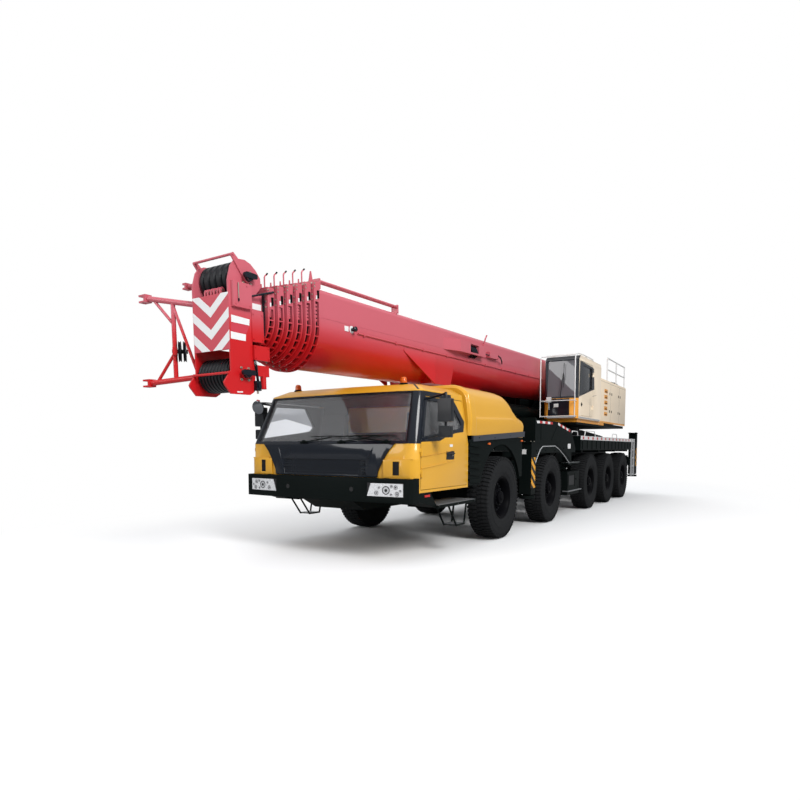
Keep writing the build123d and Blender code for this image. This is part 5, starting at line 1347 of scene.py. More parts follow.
# %% Grille slats, slot vanes and tow holes
BUMPER_NOSE, BUMPER_BOW = 2.970, 26.85
SLAT_HALF, GRILLE_SLATS = 0.70, (1.178, 1.212, 1.290, 1.318)
TOW_HOLE = (0.560, 0.965, 0.040)


def bumper_x(y, out=0.0):
    return BUMPER_NOSE - y * y / BUMPER_BOW + out


def grille():
    bm = welded_copy("front_grille")
    round_edges(bm, 0.006, 0.05)
    for z in GRILLE_SLATS:
        front_strip(bm, -SLAT_HALF, SLAT_HALF, z - 0.004, z + 0.004, 0.004, 0.0165, 0, 12)
    for z0, z1 in ((1.262, 1.268), (1.352, 1.358)):
        front_strip(bm, -0.80, 0.80, z0, z1, 0.018, 0.0275, 0, 12)
    return finish("front_grille_pressed", bm, [BLACK_GLOSS], "chassis", "black_frame", smooth=35,
                  replaces=("front_grille",))


grille()


def slot_vanes():
    bm = bmesh.new()
    for side in (1, -1):
        y0, y1, z0, z1 = 1.119, 1.216, 1.154, 1.331
        for n in range(2):
            a, b = y0 + (y1 - y0) * n / 2, y0 + (y1 - y0) * (n + 1) / 2
            corners = [(side * a, z0), (side * b, z0), (side * b, z1), (side * a, z1)]
            prism(bm, [on_front(y, z, 0.000) for y, z in corners], (0.012, 0, 0), 0)
        for k in range(6):
            y = y0 + (y1 - y0) * (k + 0.5) / 6
            box(bm, at(cab_front_x(y, WAIST, 0.010), side * y - 0.003, z0 + 0.004),
                at(cab_front_x(y, WAIST, 0.020), side * y + 0.003, z1 - 0.004), 0)
        y, z, r = TOW_HOLE
        lathe(bm, at(bumper_x(y, -0.004), side * y, z), (1, 0, 0),
              [(0, 0.0055), (r - 0.008, 0.0055), (r - 0.006, 0.008), (r, 0.008), (r + 0.003, 0.004),
               (r + 0.003, 0)], 24, 1)
        lathe(bm, at(bumper_x(y, -0.004), side * y, z), (1, 0, 0),
              [(0, 0), (r - 0.009, 0), (r - 0.009, 0.0058), (0, 0.0058)],
              24, 2)
        for z0, z1, a, b in ((1.350, 1.364, 1.040, 1.405), (1.112, 1.122, 1.075, 1.405)):
            front_strip(bm, min(side * a, side * b), max(side * a, side * b), z0, z1, -0.004, 0.020, 3, 6)
    return finish("slots_and_tow_holes", bm, [GREY_PLASTIC, BLACK, HOSE, YELLOW], "chassis", "black_frame")


slot_vanes()


def bumper():
    bm = welded_copy("front_bumper")
    count = round_edges(bm, 0.012, 0.05)
    print("bumper,", count, "edges rounded")
    return finish("front_bumper_pressed", bm, [BLACK], "chassis", "black_frame", smooth=35,
                  replaces=("front_bumper",))


bumper()

# %% Headlamps and beacons in place of the lamps node
LAMP_FIELD = plain("lamp_field", (0.86, 0.87, 0.89), 0.25, metallic=0.35, bump_scale=25, bump=0.5)
LAMP_DARK = plain("lamp_dark", (0.008, 0.008, 0.009), 0.2, bump=0.0)
LAMP_BRIGHT = plain("lamp_bright", (0.92, 0.93, 0.95), 0.12, metallic=0.9, bump=0.0)
# round lamps: y, height and radius
ROUND_LAMPS = ((1.085, 0.968, 0.056), (1.225, 1.008, 0.027), (1.245, 0.925, 0.030), (0.945, 0.930, 0.030),
               (1.165, 1.020, 0.020), (0.985, 1.000, 0.018), (1.160, 0.915, 0.018), (1.290, 0.965, 0.016))
# the dark pocket and the bright field in it, as y and height
POCKET = ((0.800, 0.880), (0.800, 1.060), (1.330, 1.060), (1.330, 0.880))
FIELD = ((0.806, 0.888), (0.862, 1.054), (1.326, 1.054), (1.326, 0.888))


def headlamps():
    bm = bmesh.new()
    for side in (1, -1):
        for outline, x0, x1, mat in ((POCKET, -0.058, -0.006, 0), (FIELD, -0.020, 0.0012, 1)):
            steps = 8
            low = [(outline[0][0] + (outline[3][0] - outline[0][0]) * n / steps, outline[0][1])
                   for n in range(steps + 1)]
            high = [(outline[1][0] + (outline[2][0] - outline[1][0]) * n / steps, outline[1][1])
                    for n in range(steps + 1)]
            for (a, b), (c, d) in zip(zip(low, low[1:]), zip(high, high[1:])):
                ring = [a, b, d, c]
                near = [bm.verts.new(at(bumper_x(y, x0), side * y, z)) for y, z in ring]
                far = [bm.verts.new(at(bumper_x(y, x1), side * y, z)) for y, z in ring]
                faces = [bm.faces.new(near), bm.faces.new(list(reversed(far)))]
                for k in range(4):
                    m = (k + 1) % 4
                    faces.append(bm.faces.new((near[m], near[k], far[k], far[m])))
                for face in faces:
                    face.material_index = mat
        for y, z, r in ROUND_LAMPS:
            tilt = (1, side * 2 * y / BUMPER_BOW, 0)
            place = at(bumper_x(y, -0.002), side * y, z)
            lathe(bm, place, tilt, [(r, 0), (r, 0.0045), (r * 0.86, 0.0060), (r * 0.80, 0.0042)], 24, 0)
            lathe(bm, place, tilt, [(r * 0.82, 0.0038), (r * 0.62, 0.0044), (r * 0.36, 0.0036)], 24, 2)
            lathe(bm, place, tilt, [(r * 0.38, 0.0034), (r * 0.26, 0.0060), (0, 0.0072)], 20, 0)
        x, y, z = 2.29, side * 0.95, 2.3605
        lathe(bm, at(x, y, z), (0, 0, 1),
              [(0, 0), (0.066, 0), (0.062, 0.008), (0.050, 0.022), (0.046, 0.026), (0, 0.026)],
              28, 3)
        lathe(bm, at(x, y, z), (0, 0, 1), [(0, 0.024), (0.047, 0.024), (0.046, 0.040), (0.044, 0.070), (0.038, 0.092),
                                          (0.026, 0.103), (0, 0.107)], 28, 4)
        for k in range(3):
            h = 0.038 + 0.017 * k
            lathe(bm, at(x, y, z), (0, 0, 1),
                  [(0.0455 - 0.001 * k, h), (0.0475 - 0.001 * k, h + 0.003), (0.0455 - 0.001 * k, h + 0.006)],
                  28, 4)
    bmesh.ops.remove_doubles(bm, verts=bm.verts, dist=1e-6)
    return finish("headlamps_and_beacons", bm, [LAMP_DARK, LAMP_FIELD, LAMP_BRIGHT, BLACK, AMBER], "chassis",
                  "lamp_glass", smooth=40, replaces=("lamps",))


headlamps()

# %% [markdown]
# What is left round the cab is small: red side markers on the lower panel, tread plates with their
# raised bars, fins on the stack behind each door, black fittings on the roof, and on the right a round
# mirror that shows the ground in front of the bumper.

# %% Markers, tread plates, stack fins, roof fittings and the round mirror
TREAD = plain("tread_plate", (0.30, 0.31, 0.32), 0.42, metallic=0.6, bump_scale=120, bump=0.2)
STEP_TOP = (1.095, 2.250, 1.030, 1.476, 0.7405)


def cab_details():
    bm = bmesh.new()
    x0, x1, y0, y1, z = STEP_TOP
    for side in (1, -1):
        side_box(bm, side, x0, x1, y0, y1, z - 0.002, z + 0.004, 1)
        bar = bmesh.new()
        box(bar, at(x0 + 0.030, min(side * y0, side * y1) + 0.02, z),
            at(x0 + 0.042, max(side * y0, side * y1) - 0.02, z + 0.010))
        join(bm, repeated(bar, ROW, TREAD, count=28, step=(0.041, 0, 0)), 1)
        for x in (1.12, 1.67, 2.22):
            lathe(bm, at(x, side * 1.476, 0.722), (0, side, 0), [(0, 0), (0.014, 0), (0.014, 0.004), (0, 0.004)], 12, 1)
        side_box(bm, side, 1.452, 1.698, 1.272, 1.458, 0.4195, 0.424, 1)
        side_box(bm, side, 2.425, 2.560, 1.438, 1.446, 0.868, 0.896, 2)
        fin = bmesh.new()
        z0 = 1.585
        prism(fin, [at(0.915, side * 1.452, z0), at(1.292, side * 1.452, z0), at(1.292, side * 1.452, z0 - 0.042),
                    at(0.915, side * 1.452, z0 - 0.075)], (0, side * 0.024, 0))
        join(bm, repeated(fin, ROW, BLACK, count=6, step=(0, 0, -0.108)), 0)
        rod(bm, [at(1.315, side * 1.02, 2.05), at(1.285, side * 1.02, 2.02)], 0.01, 6, 0)
    for x, y in ((2.112, 0.538), (2.07, 1.06), (2.112, -0.60)):
        z = 2.3600
        lathe(bm, at(x, y, z), (0, 0, 1), [(0, 0), (0.022, 0), (0.018, 0.014), (0.009, 0.026), (0, 0.028)], 12, 0)
    return finish("cab_small_fittings", bm, [BLACK, TREAD, RED_LENS], "chassis", "black_frame")


cab_details()


def round_mirror():
    bm = bmesh.new()
    centre = at(2.50, -1.600, 2.130)
    lathe(bm, centre, (1, 0.15, -0.30),
          [(0, -0.045), (0.060, -0.040), (0.098, -0.018), (0.108, 0.004), (0.104, 0.012)], 28, 0)
    lathe(bm, centre, (1, 0.15, -0.30), [(0.104, 0.010), (0.070, 0.020), (0.035, 0.025), (0, 0.027)], 28, 1)
    rod(bm, [centre + Vector((-0.03, 0.0, 0.0)), at(2.42, -1.625, 2.10), at(2.39, -1.650, 2.06)], 0.011, 8, 0)
    rod(bm, [at(2.39, -1.650, 2.215), at(2.44, -1.50, 2.205), at(2.41, -1.345, 2.190)], 0.009, 8, 0)
    lathe(bm, at(2.50, -1.600, 2.225), (1, 0.15, 0), [(0, -0.01), (0.030, -0.01), (0.030, 0.012), (0, 0.012)], 14, 2)
    return finish("round_mirror_right", bm, [BLACK, MIRROR_GLASS, RED_LENS], "cab_door_right", "black_frame", smooth=40)


round_mirror()

# %% [markdown]
# The hood is one soft pressing, so it gets a skin of its own: a row of cross-sections from front to
# rear. Each goes up the barrelled side, round a wide corner and over the top. A thick border stands
# proud at the front, and above a crease that rises to the rear the side steps in and catches the light.
# The skin has an inner side too. A dark ledge with amber markers closes the joint below it.

# %% Hood with round edges, pressed lines and ledge
HOOD_PROFILE = ((1.690, 1.450), (1.900, 1.462), (2.080, 1.446), (2.300, 1.412), (2.400, 1.368), (2.455, 1.290))
HOOD_TOP_LINE = ((1.24, 2.455), (0.06, 2.455), (-0.18, 2.440), (-0.33, 2.395), (-0.44, 2.320), (-0.56, 2.205),
                 (-0.68, 2.120), (-0.80, 2.075), (-0.97, 2.040), (-0.99, 2.015))
HOOD_FRONT, HOOD_REAR, HOOD_FOOT, HOOD_SHEET = 1.240, -0.990, 1.690, 0.032
LEDGE = ((1.150, 1.600, 1.685), (0.10, 1.652, 1.742), (-0.985, 1.706, 1.800))
LEDGE_GREY = painted("ledge_grey", (0.030, 0.034, 0.045), (0.022, 0.025, 0.034), 0.32, coat=0.4, dust=0.0, shine=0.3)


def hood_y(z):
    for (z0, y0), (z1, y1) in zip(HOOD_PROFILE, HOOD_PROFILE[1:]):
        if z <= z1:
            return y0 + (y1 - y0) * max(0.0, (z - z0) / (z1 - z0))
    return HOOD_PROFILE[-1][1]


def skin_strip(bm, low, high, side, base, out, mat):
    """A band on the hood's side between two lines of (x, z)."""
    for a, b, d, c in zip(low, low[1:], high, high[1:]):
        ring = [a, b, c, d]
        near = [bm.verts.new(at(x, side * (hood_y(z) + base), z)) for x, z in ring]
        far = [bm.verts.new(at(x, side * (hood_y(z) + out), z)) for x, z in ring]
        faces = [bm.faces.new(near), bm.faces.new(list(reversed(far)))]
        for n in range(4):
            m = (n + 1) % 4
            faces.append(bm.faces.new((near[m], near[n], far[n], far[m])))
        for face in faces:
            face.material_index = mat


def table(points, x):
    """The height of a falling line of (x, z) at x."""
    for (x0, z0), (x1, z1) in zip(points, points[1:]):
        if x >= x1:
            return z0 + (z1 - z0) * min(1.0, max(0.0, (x0 - x) / (x0 - x1)))
    return points[-1][1]


def ease(value, start, end):
    t = min(1.0, max(0.0, (value - start) / (end - start)))
    return t * t * (3 - 2 * t)


def hood_section(x, sheet=0.0):
    """Half a cross-section as (y, z), from the foot to the middle of the top."""
    top = sum(table(HOOD_TOP_LINE, x + d) for d in (-0.09, -0.06, -0.03, 0, 0.03, 0.06, 0.09)) / 7
    panel = 0.016 * (1 - ease(x, 1.020, 1.050))
    ends = 0.045 * (ease(x, 1.195, 1.240) ** 3 + (1 - ease(x, -0.990, -0.940)) ** 3)
    top -= 0.006 + sheet + ends + panel * 0.7
    crease = 1.945 + (1.08 - x) * 0.030
    corner = min(0.16, (top - HOOD_FOOT) * 0.4)
    heights = [HOOD_FOOT, 1.74, 1.80, 1.86, 1.91, crease - 0.012, crease, crease + 0.014, crease + 0.034, crease + 0.07]
    last = top - corner
    heights = [z for z in heights if z < last - 0.01] + [last]
    while len(heights) < 12:
        gap = max(range(len(heights) - 1), key=lambda n: heights[n + 1] - heights[n])
        heights.insert(gap + 1, (heights[gap] + heights[gap + 1]) / 2)
    points = []
    for z in heights[:12]:
        step = panel * (0.35 + 1.15 * ease(z, crease - 0.004, crease + 0.022))
        points.append((hood_y(z) - step - ends - sheet, z))
    (y0, z0), wide = points[-1], hood_y(top)
    y1 = wide - corner * 1.1 - ends - sheet
    for n in range(1, 9):
        t = n / 8
        a, b, c = (1 - t) ** 2, 2 * t * (1 - t), t * t
        points.append((a * y0 + b * (wide - 0.012 - ends - sheet) + c * y1, a * z0 + b * (top - 0.004) + c * top))
    points += [(y1 * k / 4, top + 0.003 * (1 - k / 4)) for k in (3, 2, 1, 0)]
    return points


def hood():
    bm = bmesh.new()
    stops = [1.240, 1.237, 1.230, 1.220, 1.205, 1.18, 1.12, 1.06, 1.050, 1.043, 1.035, 1.028, 1.020, 1.00]
    stops += [0.94 - 0.06 * n for n in range(32)] + [-0.945, -0.962, -0.976, -0.985, -0.990]
    skins = []
    for sheet in (0.0, HOOD_SHEET):
        rings = []
        for x in stops:
            half = hood_section(x, sheet)
            if sheet:
                x = HOOD_REAR + sheet + (x - HOOD_REAR) * (1 - 2 * sheet / (HOOD_FRONT - HOOD_REAR))
            whole = half + [(-y, z) for y, z in reversed(half[:-1])]
            rings.append([bm.verts.new(at(x, y, z)) for y, z in whole])
        for a, b in zip(rings, rings[1:]):
            for n in range(len(a) - 1):
                bm.faces.new((a[n], a[n + 1], b[n + 1], b[n]))
        for ring in (rings[0], rings[-1]):
            bm.faces.new(ring)
        skins.append(rings)
    outer, inner = skins
    for end in (0, -1):
        for k in range(len(stops) - 1):
            bm.faces.new((outer[k][end], outer[k + 1][end], inner[k + 1][end], inner[k][end]))
        bm.faces.new((outer[end][0], outer[end][-1], inner[end][-1], inner[end][0]))
    return finish("engine_hood_pressed", bm, [YELLOW], "chassis", "yellow_paint", smooth=40, replaces=("engine_hood",))


def hood_ledge():
    bm = bmesh.new()
    for side in (1, -1):
        skin_strip(bm, [(x, z0) for x, z0, z1 in LEDGE], [(x, z1) for x, z0, z1 in LEDGE], side, -0.02, 0.016, 1)
        for x, z in ((0.53, 1.572), (-0.90, 1.632)):
            side_box(bm, side, x - 0.040, x + 0.040, 1.438, 1.456, z - 0.014, z + 0.014, 2)
        for x, z in ((0.95, 1.705), (0.35, 1.715), (-0.30, 1.755), (-0.90, 1.785)):
            bolt(bm, at(x, side * (hood_y(1.70) + 0.014), z - 0.045), (0, side, 0), 0.008, 0.006, 0)
    return finish("hood_ledge", bm, [BLACK, LEDGE_GREY, AMBER], "chassis", "black_frame", bevel=0.003)


hood()
hood_ledge()

# %% [markdown]
# The shields over the second wheel carry a bright lip round the arch and strips of red and white tape
# along their top edge. The strip is made from short blocks in two colours, so no picture is needed.

# %% Arch lips, legs, seams and tape on the shields
ARCH_LIP = ((-1.600, 1.215), (-1.660, 1.290), (-1.860, 1.470), (-2.010, 1.535), (-2.790, 1.545), (-3.080, 1.475),
            (-3.480, 1.330), (-3.830, 1.170))
SHIELD_SEAM = ((-1.72, 1.600), (-2.80, 1.605), (-3.16, 1.520), (-3.93, 1.240))
TAPES = (((-1.66, 2.022), (-2.62, 2.030), 6), ((-2.98, 2.030), (-3.86, 1.902), 6))
TAPE_TALL = 0.048


def shield_dress():
    bm = bmesh.new()
    for side in (1, -1):
        y = side * 1.462
        rod(bm, [at(x, y, z) for x, z in ARCH_LIP], 0.009, 8, 1)
        rod(bm, [at(x, y, z) for x, z in SHIELD_SEAM], 0.005, 6, 0)
        prism(bm,
              [at(x, side * 1.440, z) for x, z in ((-1.578, 1.180), (-1.578, 1.420), (-1.850, 1.420), (-1.600, 1.200))],
              (0, side * 0.018, 0), 0)
        prism(bm,
              [at(x, side * 1.440, z) for x, z in ((-3.230, 1.425), (-4.000, 1.425), (-4.000, 1.120), (-3.900, 1.120),
                                                     (-3.490, 1.325))], (0, side * 0.018, 0), 0)
        for (xa, za), (xb, zb), count in TAPES:
            for n in range(count):
                a, b = n / count, (n + 1) / count
                corners = [(xa + (xb - xa) * s, za + (zb - za) * s - drop) for s, drop in
                           ((a, TAPE_TALL), (b, TAPE_TALL), (b, 0), (a, 0))]
                prism(bm, [at(x, side * 1.4595, z) for x, z in corners], (0, side * 0.0025, 0), 2 + n % 2)
        prism(bm, [at(x, side * 1.459, z) for x, z in ((-1.90, 1.66), (-2.40, 1.66), (-2.72, 1.98), (-1.90, 1.98))],
              (0, side * 0.006, 0), 0)
        prism(bm, [at(x, side * 1.459, z) for x, z in ((-2.55, 1.66), (-3.20, 1.60), (-3.62, 1.86), (-2.92, 1.97))],
              (0, side * 0.006, 0), 0)
        side_box(bm, side, -3.90, -3.70, 1.459, 1.4665, 1.49, 1.60, 2)
        for x in (-1.66, -2.2, -2.8, -3.4, -3.85):
            bolt(bm, at(x, side * 1.460, 1.455 if x > -3.3 else 1.50), (0, side, 0), 0.012, 0.010, 0)
    return finish("shield_lips_and_tape", bm, [BLACK, SILVER, WHITE_TAPE, RED_TAPE], "chassis", "black_frame",
                  bevel=0.0015)


shield_dress()

# %% [markdown]
# Along the rear deck runs a bright strip with red squares, repeated by a tree. Under it the side boxes
# have pressed ribs, and on top lie tread plates and white grab loops. The ladder at the back is grey.

# %% Deck strip, ribs, tread plates, grab loops and ladder
DECK = (-4.645, -10.895)
RED_SQUARES, SQUARE_STEP = 14, -0.445
GRABS = ((-4.44, 0.26, 1.40, 0.10), (-5.66, 0.52, 1.44, 0.13), (-8.40, 0.30, 1.44, 0.11))
LADDER = (-10.560, -10.930)


def deck_dress():
    bm = bmesh.new()
    x0, x1 = DECK
    for side in (1, -1):

        def slab(*spans):
            side_box(bm, side, *spans)

        slab(x0, x1, 1.484, 1.4885, 1.700, 1.789, 4)
        square = bmesh.new()
        side_box(square, side, x0 - 0.29, x0 - 0.17, 1.4875, 1.4905, 1.714, 1.776)
        join(bm, repeated(square, ROW, RED_TAPE, count=RED_SQUARES, step=(SQUARE_STEP, 0, 0)), 2)
        rib = bmesh.new()
        side_box(rib, side, x0 - 0.20, x0 - 0.15, 1.484, 1.496, 1.475, 1.690)
        join(bm, repeated(rib, ROW, BLACK, count=14, step=(-0.44, 0, 0)), 0)
        slab(x0, x1, 1.484, 1.492, 1.452, 1.468, 0)
        slab(x0 - 0.01, x1 + 0.01, 0.975, 1.478, 1.788, 1.794, 3)
        tread = bmesh.new()
        side_box(tread, side, x0 - 0.06, x0 - 0.045, 0.99, 1.46, 1.793, 1.797)
        join(bm, repeated(tread, ROW, TREAD, count=60, step=(-0.1025, 0, 0)), 3)
        for x, half, yy, tall in GRABS:
            rod(bm, [at(x + half, side * yy, 1.790), at(x + half * 0.86, side * yy, 1.790 + tall * 0.9),
                     at(x + half * 0.78, side * yy, 1.790 + tall), at(x - half * 0.78, side * yy, 1.790 + tall),
                     at(x - half * 0.86, side * yy, 1.790 + tall * 0.9), at(x - half, side * yy, 1.790)], 0.011, 10, 4)
        for x in LADDER:
            slab(x - 0.018, x + 0.018, 1.486, 1.533, 0.615, 1.800, 5)
        for n in range(5):
            z = 0.65 + 0.26 * n
            slab(LADDER[0] - 0.015, LADDER[1] + 0.015, 1.489, 1.527, z - 0.002, z + 0.034, 5)
    outline = ((-7.95, 2.035), (-8.40, 2.035), (-11.00, 1.895), (-11.00, 1.735), (-7.95, 1.735))
    prism(bm, [at(x, -0.50, z) for x, z in outline], (0, 1.0, 0), 0)
    for x, z in ((-8.9, 2.008), (-9.8, 1.960), (-10.6, 1.917)):
        box(bm, at(x - 0.02, -0.502, z - 0.02), at(x + 0.02, 0.502, z + 0.006), 0)
    return finish("deck_strip_and_rails", bm, [BLACK, SILVER, RED_TAPE, TREAD, WHITE_RAIL, SILVER], "chassis",
                  "black_frame", bevel=0.0015)


deck_dress()

# %% [markdown]
# The jack columns are marked with slanted yellow and black bars, and each has a cap on top. They slide
# out with their beams, so each column's plates ride on that beam.

# %% Hazard plates and caps on the four jack columns
COLUMNS = (("front_left", -1.440, 1, 0.76, 1.33, 1.600), ("front_right", -1.110, -1, 0.76, 1.33, 1.600),
           ("rear_left", -11.540, 1, 0.90, 1.50, 1.990), ("rear_right", -11.210, -1, 0.90, 1.50, 1.990))


def clip_band(points, z0, z1):
    """Keep the part of an outline between two heights."""
    for limit, sign in ((z0, 1), (z1, -1)):
        kept = []
        for (a, za), (b, zb) in zip(points, points[1:] + points[:1]):
            if sign * (za - limit) >= 0:
                kept.append((a, za))
            if (za - limit) * (zb - limit) < 0:
                t = (limit - za) / (zb - za)
                kept.append((a + (b - a) * t, limit))
        points = kept
    return points


def column_dress(name, x, side, z0, z1, top):
    bm = bmesh.new()
    half = 0.105
    y = side * 1.480
    box(bm, at(x - half, min(y - side * 0.001, y + side * 0.003), z0),
        at(x + half, max(y - side * 0.001, y + side * 0.003), z1), 0)
    slant, pitch, thick = 0.16, 0.185, 0.088
    n = 0
    while True:
        base = z0 - slant + pitch * n
        if base > z1:
            break
        band = clip_band([(-half, base), (half, base + slant), (half, base + slant + thick),
                          (-half, base + thick)], z0, z1)
        if len(band) > 2:
            prism(bm, [at(x + dx, y + side * 0.002, z) for dx, z in band], (0, side * 0.003, 0), 1)
        n += 1
    reach_x = 0.20 if top > 1.8 else 0.135
    side_box(bm, side, x - 0.135, x + reach_x, 1.235, 1.490, top - 0.002, top + 0.022, 2)
    for dx in (-0.09, 0.09):
        for yy in (1.27, 1.455):
            bolt(bm, at(x + dx, side * yy, top + 0.022), (0, 0, 1), 0.013, 0.014, 3)
    side_box(bm, side, x + 0.112, x + 0.119, 1.300, 1.380, z1 + 0.06, z1 + 0.15, 4)
    return finish(f"column_plates_{name}", bm, [HAZARD_YELLOW, HOSE, BLACK, ZINC, WHITE_TAPE], f"outrigger_beam_{name}",
                  "black_frame")


for row in COLUMNS:
    column_dress(*row)

# %% [markdown]
# Between the second and third wheels hangs the tool box, with a framed lid, a handle and a plate step.
# Under the machine a few round air tanks and the hoses between them fill the places that one looks into.

# %% Tool box lids and air tanks
def side_box_dress():
    bm = bmesh.new()
    for side in (1, -1):

        def slab(*spans):
            side_box(bm, side, *spans)

        slab(-3.76, -4.24, 1.458, 1.468, 0.640, 0.930, 0)
        slab(-3.80, -4.20, 1.466, 1.472, 0.680, 0.890, 1)
        slab(-4.28, -4.61, 1.458, 1.468, 0.640, 0.930, 0)
        rod(bm, [at(-4.30, side * 1.466, 0.80), at(-4.31, side * 1.492, 0.80), at(-4.42, side * 1.492, 0.80),
                 at(-4.43, side * 1.466, 0.80)], 0.008, 8, 0)
        slab(-3.70, -4.78, 1.36, 1.490, 0.535, 0.560, 2)
        slab(-3.72, -4.65, 1.302, 1.472, 1.179, 1.186, 2)
        for x in (-3.78, -4.56):
            slab(x - 0.02, x + 0.02, 1.40, 1.465, 0.545, 0.66, 0)
        lathe(bm, at(-4.75, side * 1.00, 0.95), (1, 0, 0),
              [(0, -0.19), (0.090, -0.18), (0.115, -0.14), (0.115, 0.04), (0.090, 0.075), (0, 0.085)], 24, 0)
        rod(bm, [at(-3.86, side * 1.02, 1.19), at(-3.84, side * 1.10, 1.30), at(-3.84, side * 1.16, 1.40)], 0.014, 8, 0)
    return finish("tool_box_lids", bm, [BLACK, GREY_PLASTIC, TREAD], "chassis", "black_frame", bevel=0.002)


side_box_dress()

# %% [markdown]
# The rear isn't in the picture, so it gets what such a machine carries: lamp clusters, grab rails and
# two rubber buffers, all low on the cross member.

# %% Rear lamps, rails and buffers
REAR = -11.711


def rear_dress():
    bm = bmesh.new()
    for side in (1, -1):

        def slab(ya, yb, za, zb, out, mat, base=0.0):
            side_box(bm, side, REAR - out, REAR - base + 0.001, ya, yb, za, zb, mat)

        slab(0.640, 1.060, 0.905, 1.035, 0.012, 0)
        for y, mat in ((0.675, 2), (0.800, 3), (0.900, 2), (1.000, 3)):
            lathe(bm, at(REAR - 0.010, side * y, 0.970), (-1, 0, 0),
                  [(0, 0), (0.044, 0), (0.044, 0.006), (0.036, 0.012), (0, 0.015)], 24, mat)
            lathe(bm, at(REAR - 0.010, side * y, 0.970), (-1, 0, 0),
                  [(0.044, 0), (0.049, 0), (0.049, 0.008), (0.044, 0.008)], 24, 1)
        lathe(bm, at(REAR + 0.002, side * 0.42, 0.97), (-1, 0, 0),
              [(0, 0), (0.055, 0), (0.055, 0.012), (0.044, 0.026), (0, 0.028)], 24, 4)
        rod(bm,
            [at(REAR - 0.004, side * 1.00, 1.240), at(REAR - 0.020, side * 1.00, 1.225),
             at(REAR - 0.020, side * 0.60, 1.225),
                 at(REAR - 0.004, side * 0.60, 1.240)], 0.008, 8, 0)
    return finish("rear_lamps", bm, [BLACK, GREY_PLASTIC, RED_LENS, AMBER, RUBBER], "chassis",
                  "black_frame", bevel=0.001)


rear_dress()

# %% [markdown]
# The operator's cab has a large dark windscreen over a black kick panel with orange corners. Its front
# is black round the glass, the rest is cream. The door is taken apart as the cab doors were.

# %% Operator's cab shell and door
SIDE_PANE = tinted_glass("side_pane", (0.055, 0.06, 0.07), 0.5)


def cab_shell_upper():
    bm = welded_copy("operator_cab_shell")
    for z in (2.655, 3.560):
        split_at(bm, (0, 0, z), (0, 0, 1))
    round_edges(bm, 0.018, 0.10)

    def finish_of(place, normal):
        x, y, z = place.x - AXLE_1, place.y, place.z
        if -6.52 < x < -4.50 and 0.70 < y < 1.425 and 2.22 < z < 3.60:
            return 2
        if normal.x > 0.12 and x > -4.62:
            if 2.655 < z < 3.560:
                return 1
            if z < 2.655:
                return 3
        return 0

    paint_faces(bm, finish_of)
    return finish("operator_cab_painted", bm, [CREAM, BLACK_GLOSS, INTERIOR, ORANGE], "upper", "cream_paint",
                  smooth=35, replaces=("operator_cab_shell",))


def operator_door():
    bm = welded_copy("operator_door")
    round_edges(bm, 0.005, 0.12)
    for part in loose_parts(bm):
        low, high = reach(part)
        is_pane = high.y - low.y < 0.05 and 0.3 < high.z - low.z < 1.0
        is_hinge = high.z - low.z < 0.3
        for face in part:
            centre = face.calc_center_median()
            if is_pane:
                face.material_index = 1
            elif is_hinge:
                face.material_index = 3
            else:
                face.material_index = 2 if centre.y < 1.425 else 0
    return finish("operator_door_painted", bm, [CREAM, SIDE_PANE, INTERIOR, BLACK], "operator_door",
                  "cream_paint", smooth=35,
                  replaces=("operator_door",))


cab_shell_upper()
operator_door()

# %% Black window frames, kick panel, sill, seams, handle and wiper
OPCAB_SIDE = 1.460


def side_sheet(bm, outline, out, mat, base=-0.002):
    prism(bm, [at(x, OPCAB_SIDE + base, z) for x, z in outline], (0, out - base, 0), mat)


def upper_cab_dress():
    bm = bmesh.new()
    side_sheet(bm, ((-4.506, 2.690), (-4.557, 2.694), (-4.557, 3.520), (-4.551, 3.520)), 0.003, 1)
    side_sheet(bm, ((-5.732, 2.935), (-5.880, 2.958), (-5.810, 3.455), (-5.732, 3.475)), 0.003, 1)
    side_sheet(bm, ((-5.735, 2.775), (-6.10, 2.828), (-6.10, 2.836), (-5.735, 2.783)), 0.001, 0)
    box(bm, at(-4.424, 0.765, 2.262), at(-4.4165, 1.265, 2.648), 1)
    box(bm, at(-4.430, 0.740, 2.205), at(-4.4140, 1.400, 2.248), 2)
    side_sheet(bm, ((-4.50, 2.200), (-6.50, 2.200), (-6.50, 2.235), (-4.50, 2.235)), 0.006, 2)
    box(bm, at(-4.408, 0.905, 2.455), at(-4.4150, 1.015, 2.535), 3)
    rod(bm, [at(-4.395, 0.800, 2.40), at(-4.385, 0.795, 2.58)], 0.008, 8, 3)
    box(bm, at(-4.415, 0.745, 2.570), at(-4.355, 0.845, 2.690), 3)
    rod(bm, [at(-4.418, 1.06, 2.70), at(-4.395, 1.06, 2.74), at(-4.402, 1.12, 3.22)], 0.008, 8, 0)
    rod(bm, [at(-4.404, 1.12, 2.90), at(-4.420, 1.13, 3.46)], 0.007, 6, 0)
    for k in range(4):
        box(bm, at(-4.418, 0.80, 2.30 + 0.075 * k), at(-4.4135, 1.23, 2.312 + 0.075 * k), 1)
    return finish("operator_cab_dress", bm, [BLACK, BLACK_GLOSS, SILVER, WHITE_RAIL], "upper", "black_frame",
                  bevel=0.001)


